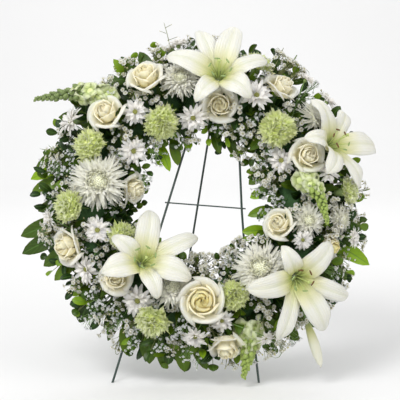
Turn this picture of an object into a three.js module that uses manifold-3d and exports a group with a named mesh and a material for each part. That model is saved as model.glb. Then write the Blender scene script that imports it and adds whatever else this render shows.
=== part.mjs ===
// A funeral wreath of white and green flowers on a folding wire easel.
// Millimetres, +Z up, front towards -Y, origin on the floor under the middle of the whole object.
// Places on the wreath are given as u (right), v (up its face) and w (out of its face).
import * as THREE from "three";
import { mergeVertices } from "three/addons/utils/BufferGeometryUtils.js";
import Module from "manifold-3d";

const wasm = await Module();
wasm.setup();

// Driving dimensions of the wreath and of the easel
const LEAN = 15; // degrees that the wreath and the front legs lean back
const CENTRE_HEIGHT = 298; // ring centre above the floor
const SEAM = 0.3; // air left between pieces that touch
const RING_RADIUS = 175; // middle of the foam ring
const FOAM_WIDTH = 76;
const FOAM_FRONT = 45;
const FOAM_CHAMFER = 9;
const TRAY_WALL = 2;
const TRAY_DEPTH = 12;
const RING_SIDES = 30;
const LEG_RADIUS = 2;
const CROSSBAR_RADIUS = 1.25;
const HOOK_RADIUS = 1.3;
const EYE_RADIUS = 4.7; // of the wire's middle line round the hinge pin
const TIE_THICKNESS = 1.6;
const TIE_WIDTH = 2.4;
const PIN_HEAD = { radius: 3.4, length: 2.5 };

// Every stem points at the core, a circle inside the foam, and ends short of it
const CORE_HEIGHT = 20;
const STEM_END = 10;
const STEM_RADIUS = 1.6;
const STEM_PLAY = 0.6; // how much wider its hole in the foam is, at the corners
const HOLE_TOP = 62;
const STEM_SIDES = 4;
const TWIG_HEIGHT = 15;
const TWIG_RADIUS = 1.2;
const PEG_DEPTH = 12; // how far a twig's peg goes into the side of the foam
const LILY_STEM_RADIUS = 2.4;
const LILY_CUP = 44; // from a lily's rim down to the base of its cup
const LILY_LAYER = 5; // between its inner and its outer tepals
const LILY_HALF_WIDTHS = [20, 16]; // of its inner and its outer tepals
const LILY_NOTCH = { radius: 15, height: -13 }; // between two tepals
const STAMEN = { base: 2.5, reach: 18, top: 12, radius: 0.7, anther: 2, antherLength: 9 };
const STIGMA = { x: 4, y: 3, top: 24, radius: 1, head: 2.4, headLength: 5 };
const LEAF_THICKNESS = 1.3;
const LEAF_ARCH = 0.14; // how high a leaf's middle rises, as a part of its length
const LEAF_CUP = 0.16; // how high its edges rise, as a part of its width
const LEAF_STALK = 0.08; // width at its base, as a part of the widest
const TWIG_SPAN = 15; // degrees between the bends of a twig along the ring
const WAX_STAR = { radius: 7, notch: 3.5, depth: 5 };
const SPRIG_STEP = 2; // degrees along a twig between the branches of a sprig
const FORK_CLEARANCE = 6; // how far outside the foam a stem forks
const FORK_STEP = 3; // between the branches of a forked stem

// Levels and lines of the easel's wires, as u, v on the wreath's face
const LEG_LEVEL = -(LEG_RADIUS + SEAM);
const CROSSBAR_LEVEL = LEG_LEVEL - LEG_RADIUS - SEAM - CROSSBAR_RADIUS;
const HINGE_V = 292;
const LEFT_EYE_U = 32;
const BACK_EYE_U = 42.5;
const PIN_START_U = 53.5;
const PIN_END_U = 26;
const LEFT_LEG = [[LEFT_EYE_U, HINGE_V - EYE_RADIUS], [-30, 84], [-152, -316]];
const RIGHT_LEG = [[PIN_START_U, HINGE_V], [60.5, 190], [70, 66], [75, -62], [101.5, -316]];
const CROSSBAR = [[-61, 2.6], [79.5, -8.4]];
const BACK_FOOT = { x: -46, y: 234, below: 12 };
const HOOKS = { left: [-112.6, -186.5], right: [89, -198.6] };
const TIE_ANGLES = { left: 90.7, right: 69.1 };

const COLOURS = {
  wire: 0x1f2b26, tray: 0x24382b, foam: 0x4c7a45, tie: 0x2f4a35, rose: 0xf3ecd9,
  lily: 0xf7f6ee, carnation: 0xc9d896, mum: 0xf1f2e6, daisy: 0xf4f4f0, snapdragon: 0xd9e6b8,
  leaf: 0x2f5a2a, wax: 0xe9e4cc,
};

const radians = THREE.MathUtils.degToRad;
const vector = (x, y, z) => new THREE.Vector3(x, y, z);

// Joining and cutting closed geometries

function weld(geometry) {
  const bare = geometry.clone();
  bare.deleteAttribute("normal");
  bare.deleteAttribute("uv");
  return mergeVertices(bare, 1e-4);
}

function toSolid(geometry) {
  const welded = weld(geometry);
  return new wasm.Manifold(new wasm.Mesh({
    numProp: 3,
    vertProperties: new Float32Array(welded.attributes.position.array),
    triVerts: new Uint32Array(welded.index.array),
  }));
}

function toGeometry(solid) {
  const mesh = solid.getMesh();
  const geometry = new THREE.BufferGeometry();
  geometry.setAttribute("position", new THREE.BufferAttribute(new Float32Array(mesh.vertProperties), 3));
  geometry.setIndex(new THREE.BufferAttribute(new Uint32Array(mesh.triVerts), 1));
  geometry.computeVertexNormals();
  return geometry;
}

function join(geometries) {
  return toGeometry(geometries.map(toSolid).reduce((whole, piece) => whole.add(piece)));
}

function cut(geometry, tools) {
  return toGeometry(tools.map(toSolid).reduce((whole, tool) => whole.subtract(tool), toSolid(geometry)));
}

function closedGeometry(points, faces) {
  const geometry = new THREE.BufferGeometry();
  const coordinates = points.flatMap((p) => [p.x, p.y, p.z]);
  geometry.setAttribute("position", new THREE.Float32BufferAttribute(coordinates, 3));
  geometry.setIndex(faces.flat());
  geometry.computeVertexNormals();
  return geometry;
}

// A closed surface through rings of points round Z, from the lowest cap to the point on top

function ring(count, turn, shape) {
  return Array.from({ length: count }, (_, i) => {
    const angle = turn + (i * 2 * Math.PI) / count;
    const { radius, height } = shape(i);
    return { angle, point: vector(radius * Math.cos(angle), radius * Math.sin(angle), height) };
  });
}

const plainRing = (count, turn, radius, height) => ring(count, turn, () => ({ radius, height }));

// Petals in a round: each has `steps` points, of which the first is the notch beside it
function petalRing(petals, steps, turn, tip, notch, tipHeight, notchHeight) {
  return ring(petals * steps, turn, (i) => {
    const atNotch = i % steps === 0;
    return { radius: atNotch ? notch : tip, height: atNotch ? notchHeight : tipHeight };
  });
}

// Fills the band between two rings. Where both have a point at one angle, the shorter ring steps
// first, so that the two faces of a thin petal are split alike and don't cross.
function stitch(faces, lower, upper, lowerStart, upperStart) {
  const angleAt = (loop, i) => loop[i % loop.length].angle + 2 * Math.PI * Math.floor(i / loop.length);
  let offset = 0;
  while (angleAt(upper, offset) < angleAt(lower, 0) - Math.PI / upper.length) {
    offset += 1;
  }
  let low = 0;
  let high = 0;
  while (low < lower.length || high < upper.length) {
    const nextLow = angleAt(lower, low + 1);
    const nextHigh = angleAt(upper, offset + high + 1);
    const a = lowerStart + (low % lower.length);
    const b = upperStart + ((offset + high) % upper.length);
    const level = Math.abs(nextLow - nextHigh) < 1e-6;
    const lowFirst = level ? lower.length <= upper.length : nextLow < nextHigh;
    if (high >= upper.length || (low < lower.length && lowFirst)) {
      faces.push([a, lowerStart + ((low + 1) % lower.length), b]);
      low += 1;
    } else {
      faces.push([a, upperStart + ((offset + high + 1) % upper.length), b]);
      high += 1;
    }
  }
}

function ringSolid(rings, topHeight) {
  const points = rings.flat().map((entry) => entry.point);
  const starts = [];
  let start = 0;
  for (const loop of rings) {
    starts.push(start);
    start += loop.length;
  }
  const faces = [];
  const first = rings[0];
  for (let i = 1; i < first.length - 1; i += 1) {
    faces.push([0, i + 1, i]);
  }
  for (let k = 0; k + 1 < rings.length; k += 1) {
    stitch(faces, rings[k], rings[k + 1], starts[k], starts[k + 1]);
  }
  const last = rings.at(-1);
  const top = points.push(vector(0, 0, topHeight)) - 1;
  last.forEach((_, i) => faces.push([starts.at(-1) + i, starts.at(-1) + ((i + 1) % last.length), top]));
  return closedGeometry(points, faces);
}

// A leaf: a thin blade along a curve, thickest along its midrib, with raised edges and a pointed
// end. Its upper face looks out of the wreath.
function blade(path, halfWidth) {
  const rows = 3;
  const curve = new THREE.CatmullRomCurve3(path, false, "centripetal");
  const points = [];
  const faces = [];
  for (let row = 0; row < rows; row += 1) {
    const t = row / rows;
    const centre = curve.getPoint(t);
    const along = curve.getTangent(t);
    const side = vector(0, 0, 0).crossVectors(along, vector(0, 0, 1)).normalize();
    const normal = vector(0, 0, 0).crossVectors(side, along).normalize();
    const stalk = LEAF_STALK * (1 - t);
    const reach = halfWidth * (stalk + (1 - LEAF_STALK) * Math.sin(Math.PI * t)) + LEAF_THICKNESS / 2;
    const lift = LEAF_CUP * reach;
    points.push(centre.clone().addScaledVector(side, -reach).addScaledVector(normal, lift));
    points.push(centre.clone().addScaledVector(normal, LEAF_THICKNESS / 2));
    points.push(centre.clone().addScaledVector(side, reach).addScaledVector(normal, lift));
    points.push(centre.clone().addScaledVector(normal, -LEAF_THICKNESS / 2));
  }
  const tip = points.push(curve.getPoint(1)) - 1;
  faces.push([0, 3, 1], [1, 3, 2]);
  for (let row = 0; row < rows; row += 1) {
    const [left, top, right, bottom] = [0, 1, 2, 3].map((i) => 4 * row + i);
    if (row + 1 === rows) {
      faces.push([left, top, tip], [top, right, tip], [right, bottom, tip], [bottom, left, tip]);
    } else {
      const [left2, top2, right2, bottom2] = [4, 5, 6, 7].map((i) => 4 * row + i);
      faces.push([left, top2, left2], [left, top, top2], [right, right2, top2], [right, top2, top]);
      faces.push([right, bottom2, right2], [right, bottom, bottom2]);
      faces.push([left, left2, bottom2], [left, bottom2, bottom]);
    }
  }
  return closedGeometry(points, faces);
}

// Turns a shape made along +Z to look along a direction, and moves it to a place
function aim(geometry, place, direction) {
  const turn = new THREE.Quaternion().setFromUnitVectors(vector(0, 0, 1), direction.clone().normalize());
  return geometry.applyQuaternion(turn).translate(place.x, place.y, place.z);
}

// A straight rod from one point to another, with flat ends
function rod(from, to, radius, sides) {
  const length = from.distanceTo(to);
  const points = [0, length].flatMap((h) => plainRing(sides, 0, radius, h).map((entry) => entry.point));
  const faces = [];
  for (let i = 0; i < sides; i += 1) {
    const next = (i + 1) % sides;
    faces.push([i, next, sides + next], [i, sides + next, sides + i]);
  }
  for (let i = 1; i < sides - 1; i += 1) {
    faces.push([0, i + 1, i], [sides, sides + i, sides + i + 1]);
  }
  return aim(closedGeometry(points, faces), from, vector(0, 0, 0).subVectors(to, from));
}

function tube(points, radius, sides, steps) {
  const section = new THREE.Shape();
  for (let i = 0; i < sides; i += 1) {
    const angle = (i * 2 * Math.PI) / sides;
    const [x, y] = [radius * Math.cos(angle), radius * Math.sin(angle)];
    if (i === 0) {
      section.moveTo(x, y);
    } else {
      section.lineTo(x, y);
    }
  }
  const extrudePath = new THREE.CatmullRomCurve3(points, false, "centripetal");
  return new THREE.ExtrudeGeometry(section, { steps, bevelEnabled: false, extrudePath });
}

// A small pointed bud with its middle at the origin
function smallBud(radius, length) {
  const foot = plainRing(3, 0, 0.3 * radius, -length / 2);
  return ringSolid([foot, plainRing(4, 0, radius, 0)], length / 2);
}

// Places on the wreath

const FACE = new THREE.Matrix4().makeRotationX(radians(90 - LEAN));
const onFace = (u, v, w) => vector(u, v, w).applyMatrix4(FACE);

// A place above the foam: `around` the ring anticlockwise from the right, `tilt` outwards from
// straight ahead, and `out` from the core. Z points away from the core and X away from the ring.
function seat(around, tilt, out, turn = 0) {
  const [a, t] = [radians(around), radians(tilt)];
  const radial = vector(Math.cos(a), Math.sin(a), 0);
  const tangent = vector(-Math.sin(a), Math.cos(a), 0);
  const front = vector(0, 0, 1);
  const axis = radial.clone().multiplyScalar(Math.sin(t)).addScaledVector(front, Math.cos(t));
  const outwards = vector(0, 0, 0).crossVectors(tangent, axis);
  const core = radial.clone().multiplyScalar(RING_RADIUS).addScaledVector(front, CORE_HEIGHT);
  const place = new THREE.Matrix4().makeBasis(outwards, tangent, axis);
  place.setPosition(core.addScaledVector(axis, out));
  return place.multiply(new THREE.Matrix4().makeRotationZ(radians(turn)));
}

const stemHoles = [];

function boreStem(around, tilt, radius = STEM_RADIUS, turn = 0) {
  const bottom = STEM_END - STEM_PLAY;
  const hole = ringSolid([
    plainRing(STEM_SIDES, 0, radius + STEM_PLAY, bottom),
    plainRing(STEM_SIDES, 0, radius + STEM_PLAY, HOLE_TOP),
  ], HOLE_TOP);
  stemHoles.push(hole.applyMatrix4(seat(around, tilt, 0, turn)));
}

// Blooms, made with the rim at height 0, the stem downwards and the face upwards

const stemRings = (length, base, radius = STEM_RADIUS) => [
  plainRing(STEM_SIDES, 0, radius, -length),
  plainRing(STEM_SIDES, 0, radius, base),
];

function rose(size, length) {
  return ringSolid([
    ...stemRings(length, -0.95 * size),
    plainRing(10, 0, 0.76 * size, -0.42 * size),
    petalRing(5, 3, 0, size, 0.8 * size, 0, -0.12 * size),
    plainRing(10, 0, 0.64 * size, -0.14 * size),
    petalRing(5, 3, 0.6, 0.76 * size, 0.63 * size, 0.22 * size, 0.1 * size),
    plainRing(9, 0, 0.45 * size, 0.06 * size),
    petalRing(4, 3, 0.2, 0.52 * size, 0.41 * size, 0.38 * size, 0.26 * size),
    plainRing(6, 0, 0.26 * size, 0.2 * size),
    petalRing(3, 2, 0.5, 0.29 * size, 0.22 * size, 0.46 * size, 0.38 * size),
  ], 0.3 * size);
}

function carnation(size, length) {
  return ringSolid([
    ...stemRings(length, -1.15 * size),
    plainRing(7, 0, 0.24 * size, -1.06 * size),
    plainRing(7, 0, 0.34 * size, -0.5 * size),
    petalRing(10, 2, 0, size, 0.84 * size, 0.02 * size, -0.2 * size),
    plainRing(10, 0, 0.66 * size, 0),
    petalRing(8, 2, 0.2, 0.8 * size, 0.64 * size, 0.34 * size, 0.16 * size),
    plainRing(8, 0, 0.44 * size, 0.2 * size),
    petalRing(6, 2, 0.1, 0.54 * size, 0.4 * size, 0.54 * size, 0.38 * size),
    plainRing(6, 0, 0.22 * size, 0.36 * size),
    petalRing(3, 2, 0.4, 0.27 * size, 0.18 * size, 0.62 * size, 0.5 * size),
  ], 0.46 * size);
}

function mumHead(size) {
  return [
    plainRing(6, 0, 0.1 * size, -0.56 * size),
    plainRing(12, 0, 0.26 * size, -0.46 * size),
    petalRing(12, 2, 0, 0.58 * size, size, -0.24 * size, -0.2 * size),
    plainRing(12, 0.2, 0.42 * size, -0.02 * size),
    petalRing(12, 2, 0.24, 0.52 * size, 0.86 * size, 0.08 * size, 0.16 * size),
    plainRing(12, 0, 0.34 * size, 0.2 * size),
    petalRing(9, 2, 0.1, 0.3 * size, 0.6 * size, 0.3 * size, 0.46 * size),
    plainRing(6, 0, 0.17 * size, 0.42 * size),
  ];
}

const MUM_TOP = 0.5;

function mum(size, length) {
  return ringSolid([...stemRings(length, -0.6 * size), ...mumHead(size)], MUM_TOP * size);
}

function daisyHead(size) {
  return [
    plainRing(4, 0, 0.16 * size, -0.34 * size),
    plainRing(8, 0, 0.32 * size, -0.1 * size),
    petalRing(9, 2, 0, size, 0.6 * size, 0.02 * size, -0.04 * size),
    plainRing(8, 0, 0.34 * size, 0.05 * size),
    plainRing(5, 0, 0.24 * size, 0.2 * size),
  ];
}

const DAISY_TOP = 0.22;
const daisy = (size) => ringSolid(daisyHead(size), DAISY_TOP * size);

// A thin stalk along +Z that ends in a wider head, such as a stamen or a beaded twig
function stalk(length, radius, headRadius, headLength) {
  return ringSolid([
    plainRing(3, 0, radius, 0), plainRing(3, 0, radius, length - headLength / 2),
    plainRing(4, 0.5, headRadius, length),
  ], length + headLength / 2);
}

const polar = (degrees, radius, height) => {
  const angle = radians(degrees);
  return { angle, point: vector(radius * Math.cos(angle), radius * Math.sin(angle), height) };
};

// An open lily. `tips` gives each tepal's angle round the head and its reach, in order of angle.
// Both faces share the tepals' outline; each face has two points on every midrib, and one
// between each two tepals.
function lily(tips, length) {
  const gapAfter = (i) => (tips[(i + 1) % tips.length][0] - tips[i][0] + 360) % 360;
  const between = (i, radius, height) => polar(tips[i][0] + gapAfter(i) / 2, radius, height);
  const midribs = (part, height, waist, waistHeight) => tips.flatMap(([angle, reach], i) => [
    polar(angle, part * reach, height - (i % 2) * LILY_LAYER), between(i, waist, waistHeight),
  ]);
  const outline = tips.flatMap(([angle, reach], i) => {
    const halfWidth = LILY_HALF_WIDTHS[i % 2];
    const drop = (i % 2) * LILY_LAYER;
    const edge = (side, part, width, height) => {
      const gap = side > 0 ? gapAfter(i) : gapAfter((i + 5) % 6);
      const turn = Math.min(THREE.MathUtils.radToDeg(Math.atan2(width, part * reach)), 0.43 * gap);
      return polar(angle + side * turn, Math.hypot(part * reach, width), height - drop);
    };
    return [
      edge(-1, 0.4, 0.9 * halfWidth, 2), edge(-1, 0.7, halfWidth, 8), polar(angle, reach, -8 - drop),
      edge(1, 0.7, halfWidth, 8), edge(1, 0.4, 0.9 * halfWidth, 2),
      between(i, LILY_NOTCH.radius, LILY_NOTCH.height),
    ];
  });
  const first = THREE.MathUtils.degToRad(tips[0][0]);
  const flower = ringSolid([
    ...stemRings(length, -LILY_CUP, LILY_STEM_RADIUS),
    plainRing(6, first, 7, -LILY_CUP + 10),
    midribs(0.35, -6, 13, -18),
    midribs(0.7, 3, 14, -15),
    outline,
    midribs(0.7, 6, 13.5, -12),
    midribs(0.35, -3, 11, -13),
    plainRing(6, first, 4.5, -LILY_CUP + 16),
  ], -LILY_CUP + 12);
  const pieces = [flower];
  const { radius, anther, antherLength } = STAMEN;
  for (let i = 0; i < 6; i += 1) {
    const away = polar(60 * i + 25, 1, 0).point;
    const base = away.clone().multiplyScalar(STAMEN.base).setZ(-LILY_CUP + 12);
    const top = away.clone().multiplyScalar(STAMEN.reach).setZ(STAMEN.top);
    pieces.push(aim(stalk(base.distanceTo(top), radius, anther, antherLength), base, top.sub(base)));
  }
  const base = vector(0, 0, -LILY_CUP + 11);
  const top = vector(STIGMA.x, STIGMA.y, STIGMA.top);
  const pistil = stalk(base.distanceTo(top), STIGMA.radius, STIGMA.head, STIGMA.headLength);
  pieces.push(aim(pistil, base, top.sub(base)));
  return pieces;
}

function lilyBud(from, to, radius) {
  const length = from.distanceTo(to);
  const bud = ringSolid([
    plainRing(5, 0, 1, 0),
    plainRing(5, 0, radius, 0.45 * length),
    plainRing(5, 0, 0.8 * radius, 0.75 * length),
  ], length);
  return aim(bud, from, vector(0, 0, 0).subVectors(to, from));
}

// One snapdragon floret: a small trumpet with five lobes that looks along +Z
function floret(size) {
  return ringSolid([
    plainRing(3, 0, 1, -1.1 * size),
    plainRing(5, 0, 0.42 * size, -0.35 * size),
    petalRing(5, 2, 0, size, 0.55 * size, 0.1 * size, 0),
  ], -0.25 * size);
}

// A snapdragon's flower stalk through the given points, florets below and buds towards its tip
function snapdragon(path, florets, size) {
  const curve = new THREE.CatmullRomCurve3(path, false, "centripetal");
  const pieces = [tube(path, 1.5, 4, 4)];
  const golden = radians(137.5);
  for (let i = 0; i < florets; i += 1) {
    const t = 0.32 + (0.6 * i) / florets;
    const along = curve.getTangent(t);
    const across = vector(0, 0, 1).cross(along).normalize();
    const facing = across.applyAxisAngle(along, i * golden).addScaledVector(along, 0.25 + 0.6 * t);
    facing.normalize();
    const scale = size * (1.25 - 0.75 * t);
    const place = curve.getPoint(t).addScaledVector(facing, 0.95 * scale);
    pieces.push(aim(floret(scale), place, facing));
  }
  for (let i = 0; i < 4; i += 1) {
    const t = 0.84 + 0.05 * i;
    const along = curve.getTangent(Math.min(t, 1));
    const across = vector(0, 0, 1).cross(along).normalize().applyAxisAngle(along, i * golden);
    const radius = 0.2 * size * (1.6 - t);
    const place = curve.getPoint(Math.min(t, 0.99)).addScaledVector(across, 0.8 * radius + 0.8);
    pieces.push(aim(smallBud(radius, 3.2 * radius), place, along.addScaledVector(across, 0.5)));
  }
  return pieces;
}

// A thin branch with a tiny head: a waxflower's star, or a bead of baby's breath
function tinyBranch(start, end, kind) {
  const length = start.distanceTo(end);
  const { radius, notch, depth } = WAX_STAR;
  const star = [
    plainRing(3, 0, 0.6, 0), plainRing(3, 0, 0.7, length - depth),
    petalRing(5, 2, 0, radius, notch, length, length - 1),
  ];
  const branch = kind === "wax" ? ringSolid(star, length - 1) : stalk(length, 0.6, 3, 6);
  return aim(branch, start, vector(0, 0, 0).subVectors(end, start));
}

// A twig that lies along the ring, with pegs into the foam, leaves that end at the given tips
// and sometimes a sprig of tiny heads
function leafArc({ radius, from, to, pegs, leaves, sprig = null }) {
  const onRing = (angle, r = radius, w = TWIG_HEIGHT) =>
    vector(r * Math.cos(radians(angle)), r * Math.sin(radians(angle)), w);
  const inwards = radius < RING_RADIUS;
  const side = RING_RADIUS + (inwards ? -1 : 1) * FOAM_WIDTH / 2;
  const pegEnd = side + (inwards ? 1 : -1) * PEG_DEPTH;
  const steps = Math.max(3, Math.round((to - from) / TWIG_SPAN));
  const route = Array.from({ length: steps + 1 }, (_, i) => onRing(from + ((to - from) * i) / steps));
  const onTwig = (angle) => {
    const along = Math.min(((angle - from) / (to - from)) * steps, steps - 1e-6);
    const i = Math.floor(along);
    return route[i].clone().lerp(route[i + 1], along - i);
  };
  const pieces = [tube(route, TWIG_RADIUS, 4, steps)];
  for (const peg of pegs) {
    pieces.push(rod(onRing(peg, pegEnd), onTwig(peg), TWIG_RADIUS, 3));
    const clear = TWIG_RADIUS + STEM_PLAY;
    stemHoles.push(rod(onRing(peg, pegEnd + (inwards ? 0.5 : -0.5)), onRing(peg, radius), clear, 3));
  }
  for (const [base, u, v, w, halfWidth] of leaves) {
    const start = onTwig(base);
    const tip = vector(u, v, w);
    const middle = start.clone().lerp(tip, 0.5).add(vector(0, 0, LEAF_ARCH * start.distanceTo(tip)));
    pieces.push(blade([start, middle, tip], halfWidth));
  }
  if (sprig) {
    sprig.heads.forEach(([u, v, w], i) => {
      pieces.push(tinyBranch(onTwig(sprig.base + SPRIG_STEP * i), vector(u, v, w), sprig.kind));
    });
  }
  return join(pieces);
}

// Tables of the blooms: around, tilt and turn in degrees, out and size in millimetres, in the
// order around, tilt, out, size, turn

const ROSES = [
  [138, 29, 84, 31, 10], [114, 39, 86, 32, 40], [78, -12, 66, 29, 0], [54, 52, 84, 28, 70],
  [21, 13, 84, 29, 20], [-19, -26, 84, 26, 50], [-20, 57, 74, 23, 0], [-80, 62, 92, 30, 30],
  [-89, 0, 88, 36, 15], [-136, 16, 74, 28, 60], [-160, 52, 84, 31, 35], [171, -59, 76, 26, 5],
];

const CARNATIONS = [
  [155, 22, 80, 28, 0], [117, -25, 80, 30, 20], [67, 66, 88, 27, 40], [41, -1, 80, 31, 10],
  [3, 62, 88, 24, 30], [-176, 34, 82, 28, 50], [-153, -24, 75, 25, 15], [-111, 34, 82, 29, 35],
  [-71, -2, 69, 26, 5],
];

const MUMS = [
  [171, -2, 71, 44, 0], [99, 24, 70, 33, 10], [35, 58, 78, 33, 20], [-50, -14, 71, 44, 5],
  [-107, -16, 65, 35, 12],
];

// Two chrysanthemums that share a forked stem
const MUM_SPRAY = { stem: [-10, 30], heads: [[-12, 8, 64, 27, 15], [-8, 58, 74, 26, 0]] };

// Sprays of daisies: where the stem enters the foam, and each head's place and size
const DAISY_SPRAYS = [
  { stem: [134, -6], heads: [[127, 6, 66, 24, 0], [145, -30, 76, 25, 10]] },
  { stem: [61, 10], heads: [[61, 16, 78, 27, 5]] },
  { stem: [16, 6], heads: [[25, -22, 63, 24, 0], [11, 34, 78, 21, 0]] },
  { stem: [-156, 20], heads: [[-148, 44, 72, 25, 8], [-162, 4, 69, 24, 0], [-173, 66, 90, 18, 0]] },
  { stem: [93, 4], heads: [[95, -32, 72, 26, 6], [98, 72, 102, 22, 0], [82, 76, 104, 18, 0]] },
  { stem: [-86, 30], heads: [[-92, 44, 82, 22, 3], [-80, 28, 72, 20, 0], [-65, 60, 96, 16, 0]] },
  { stem: [-18, 30], heads: [[-23, 8, 76, 18, 0], [-14, 70, 98, 19, 0]] },
  { stem: [43, 66], heads: [[49, 78, 106, 19, 0], [38, 80, 106, 22, 5]] },
  { stem: [149, 60], heads: [[149, 62, 92, 28, 0]] },
  { stem: [-123, 20], heads: [[-121, 24, 64, 28, 0]] },
];

// Lilies: around, tilt and out, each tepal's angle and reach, and a bud on the same stem
const LILIES = [
  {
    place: [81, 22, 100],
    tips: [[-124, 70], [-61, 88], [-8, 100], [31, 97], [80, 95], [152, 68]],
  },
  {
    place: [22, 45, 102],
    tips: [[-136, 66], [-74, 88], [-14, 108], [40, 84], [96, 84], [160, 66]],
  },
  {
    place: [-131, -20, 100],
    tips: [[-147, 92], [-88, 66], [-30, 74], [62, 68], [112, 86], [158, 108]],
  },
  {
    place: [-40, 24, 100],
    tips: [[-130, 92], [-66, 110], [-20, 104], [20, 100], [89, 80], [160, 62]],
    bud: { fork: 50, base: [180, -206, 42], tip: [204, -282, 36], radius: 9 },
  },
];

const SNAPDRAGONS = [
  {
    stem: [133, 66], florets: 7, size: 15,
    path: [[-152, 163, 52], [-178, 180, 62], [-232, 182, 52], [-284, 176, 42]],
  },
  {
    stem: [3, 10], florets: 6, size: 13,
    path: [[172, 34, 72], [182, 24, 96], [200, -6, 110], [212, -46, 104]],
  },
  {
    stem: [-69, 68], florets: 6, size: 13,
    path: [[80, -206, 40], [84, -226, 44], [80, -262, 46], [73, -300, 42]],
  },
];

// Leaves: twig angle of the base, then the tip's u, v and w, and the half width
const LEAF_ARCS = {
  leaves_outer_left: {
    radius: 222, from: 150, to: 206, pegs: [160, 196],
    leaves: [
      [152, -284, 62, 12, 13], [160, -292, 40, 18, 11], [167, -292, 16, 8, 13],
      [178, -280, -14, 6, 11], [187, -308, -58, 14, 15], [192, -306, -88, 8, 15],
      [199, -268, -110, 16, 13], [204, -250, -134, 6, 11],
    ],
  },
  leaves_outer_bottom: {
    radius: 222, from: 212, to: 268, pegs: [218, 262],
    sprig: {
      base: 226, kind: "gyp",
      heads: [[-178, -186, 48], [-166, -176, 60], [-152, -190, 56], [-140, -206, 50], [-150, -218, 44],
        [-124, -220, 56], [-112, -234, 46]],
    },
    leaves: [
      [214, -222, -160, 10, 14], [219, -206, -206, 12, 21], [232, -160, -226, 8, 13],
      [239, -124, -262, 14, 18], [247, -86, -276, 10, 16], [253, -62, -284, 4, 12],
      [261, -26, -290, 12, 14], [266, 12, -286, 6, 12],
    ],
  },
  leaves_outer_right: {
    radius: 222, from: 292, to: 352, pegs: [302, 340],
    sprig: { base: 294, kind: "wax", heads: [[116, -262, 40], [126, -232, 52], [140, -250, 44]] },
    leaves: [
      [296, 128, -262, 8, 13], [302, 168, -236, 14, 14], [312, 196, -214, 6, 11],
      [324, 232, -170, 12, 13], [334, 262, -132, 6, 12], [344, 290, -108, 18, 14],
      [350, 282, -44, 10, 12],
    ],
  },
  leaves_outer_top: {
    radius: 222, from: 100, to: 142, pegs: [106, 136],
    sprig: {
      base: 112, kind: "wax",
      heads: [[-74, 258, 60], [-118, 244, 44], [-122, 214, 66], [-136, 232, 52], [-150, 200, 60]],
    },
    leaves: [
      [102, -48, 272, 12, 11], [110, -106, 266, 10, 12], [118, -138, 248, 16, 10],
      [126, -160, 226, 8, 12], [140, -246, 150, 10, 13],
    ],
  },
  leaves_inner_top: {
    radius: 128, from: 66, to: 128, pegs: [72, 120],
    leaves: [
      [70, 66, 74, 22, 9], [80, 34, 84, 24, 9], [100, -20, 86, 26, 8], [112, -38, 64, 18, 10],
      [124, -52, 52, 30, 9],
    ],
  },
  leaves_inner_right: {
    radius: 128, from: -52, to: 34, pegs: [-30, 26],
    sprig: {
      base: -50, kind: "wax",
      heads: [[44, -88, 44], [58, -82, 54], [50, -104, 58], [72, -72, 48], [40, -104, 36]],
    },
    leaves: [
      [26, 84, 30, 24, 10], [12, 86, 6, 28, 10], [-4, 82, -24, 22, 9], [-22, 72, -52, 26, 10],
    ],
  },
  leaves_inner_left: {
    radius: 128, from: 196, to: 270, pegs: [204, 240],
    sprig: {
      base: 258, kind: "wax",
      heads: [[-14, -102, 40], [2, -98, 52], [16, -104, 44], [6, -118, 60], [24, -114, 56]],
    },
    leaves: [[200, -86, -30, 22, 8], [222, -66, -62, 22, 9], [240, -36, -78, 26, 9]],
  },
};

// The waxflower sprig: where its stem enters the foam, and where each tiny head sits
const WAXFLOWER = {
  stem: [60, 40],
  heads: [[136, 248, 48], [152, 236, 52], [144, 264, 50], [178, 232, 40], [166, 248, 44]],
};

// Building each kind of node

const group = new THREE.Group();
const face = new THREE.Group();
face.rotation.x = radians(90 - LEAN);
group.add(face);

function add(parent, name, geometry, color, roughness = 0.75, metalness = 0) {
  const look = { color, roughness, metalness, flatShading: true };
  const material = new THREE.MeshStandardMaterial(look);
  const mesh = new THREE.Mesh(geometry, material);
  mesh.name = name;
  parent.add(mesh);
  return mesh;
}

function addBlooms(prefix, table, shape, colour) {
  table.forEach(([around, tilt, out, size, turn], i) => {
    const geometry = shape(size, out - STEM_END);
    const mesh = add(face, `${prefix}_${String(i + 1).padStart(2, "0")}`, geometry, colour);
    mesh.applyMatrix4(seat(around, tilt, out, turn));
    boreStem(around, tilt, STEM_RADIUS, turn);
  });
}

// How far from the core a stem with this tilt comes out of the foam
function foamExit(tilt) {
  const t = radians(tilt);
  return Math.min((FOAM_FRONT - CORE_HEIGHT) / Math.cos(t), FOAM_WIDTH / 2 / Math.abs(Math.sin(t)));
}

// A stem in the foam with a branch to each of the given ends
function forkedStem([around, tilt], ends, branchRadius, forks = ends.length) {
  boreStem(around, tilt);
  const fork = foamExit(tilt) + FORK_CLEARANCE;
  const top = fork + FORK_STEP * (forks - 1) + 1;
  const stem = ringSolid([
    plainRing(STEM_SIDES, 0, STEM_RADIUS, STEM_END),
    plainRing(STEM_SIDES, 0, STEM_RADIUS, top),
  ], top + 1).applyMatrix4(seat(around, tilt, 0));
  const branches = ends.map((end, i) => {
    const start = vector(0, 0, 0).applyMatrix4(seat(around, tilt, fork + FORK_STEP * i));
    return rod(start, end, branchRadius, 3);
  });
  return [stem, ...branches];
}

// Heads on one forked stem; `drop` is how far under its rim each head meets its branch
function spray({ stem, heads }, head, drop) {
  const ends = heads.map(([around, tilt, out, size]) =>
    vector(0, 0, 0).applyMatrix4(seat(around, tilt, out - drop * size)));
  const pieces = forkedStem(stem, ends, 1);
  for (const [around, tilt, out, size, turn] of heads) {
    pieces.push(head(size).applyMatrix4(seat(around, tilt, out, turn)));
  }
  return join(pieces);
}

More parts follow.
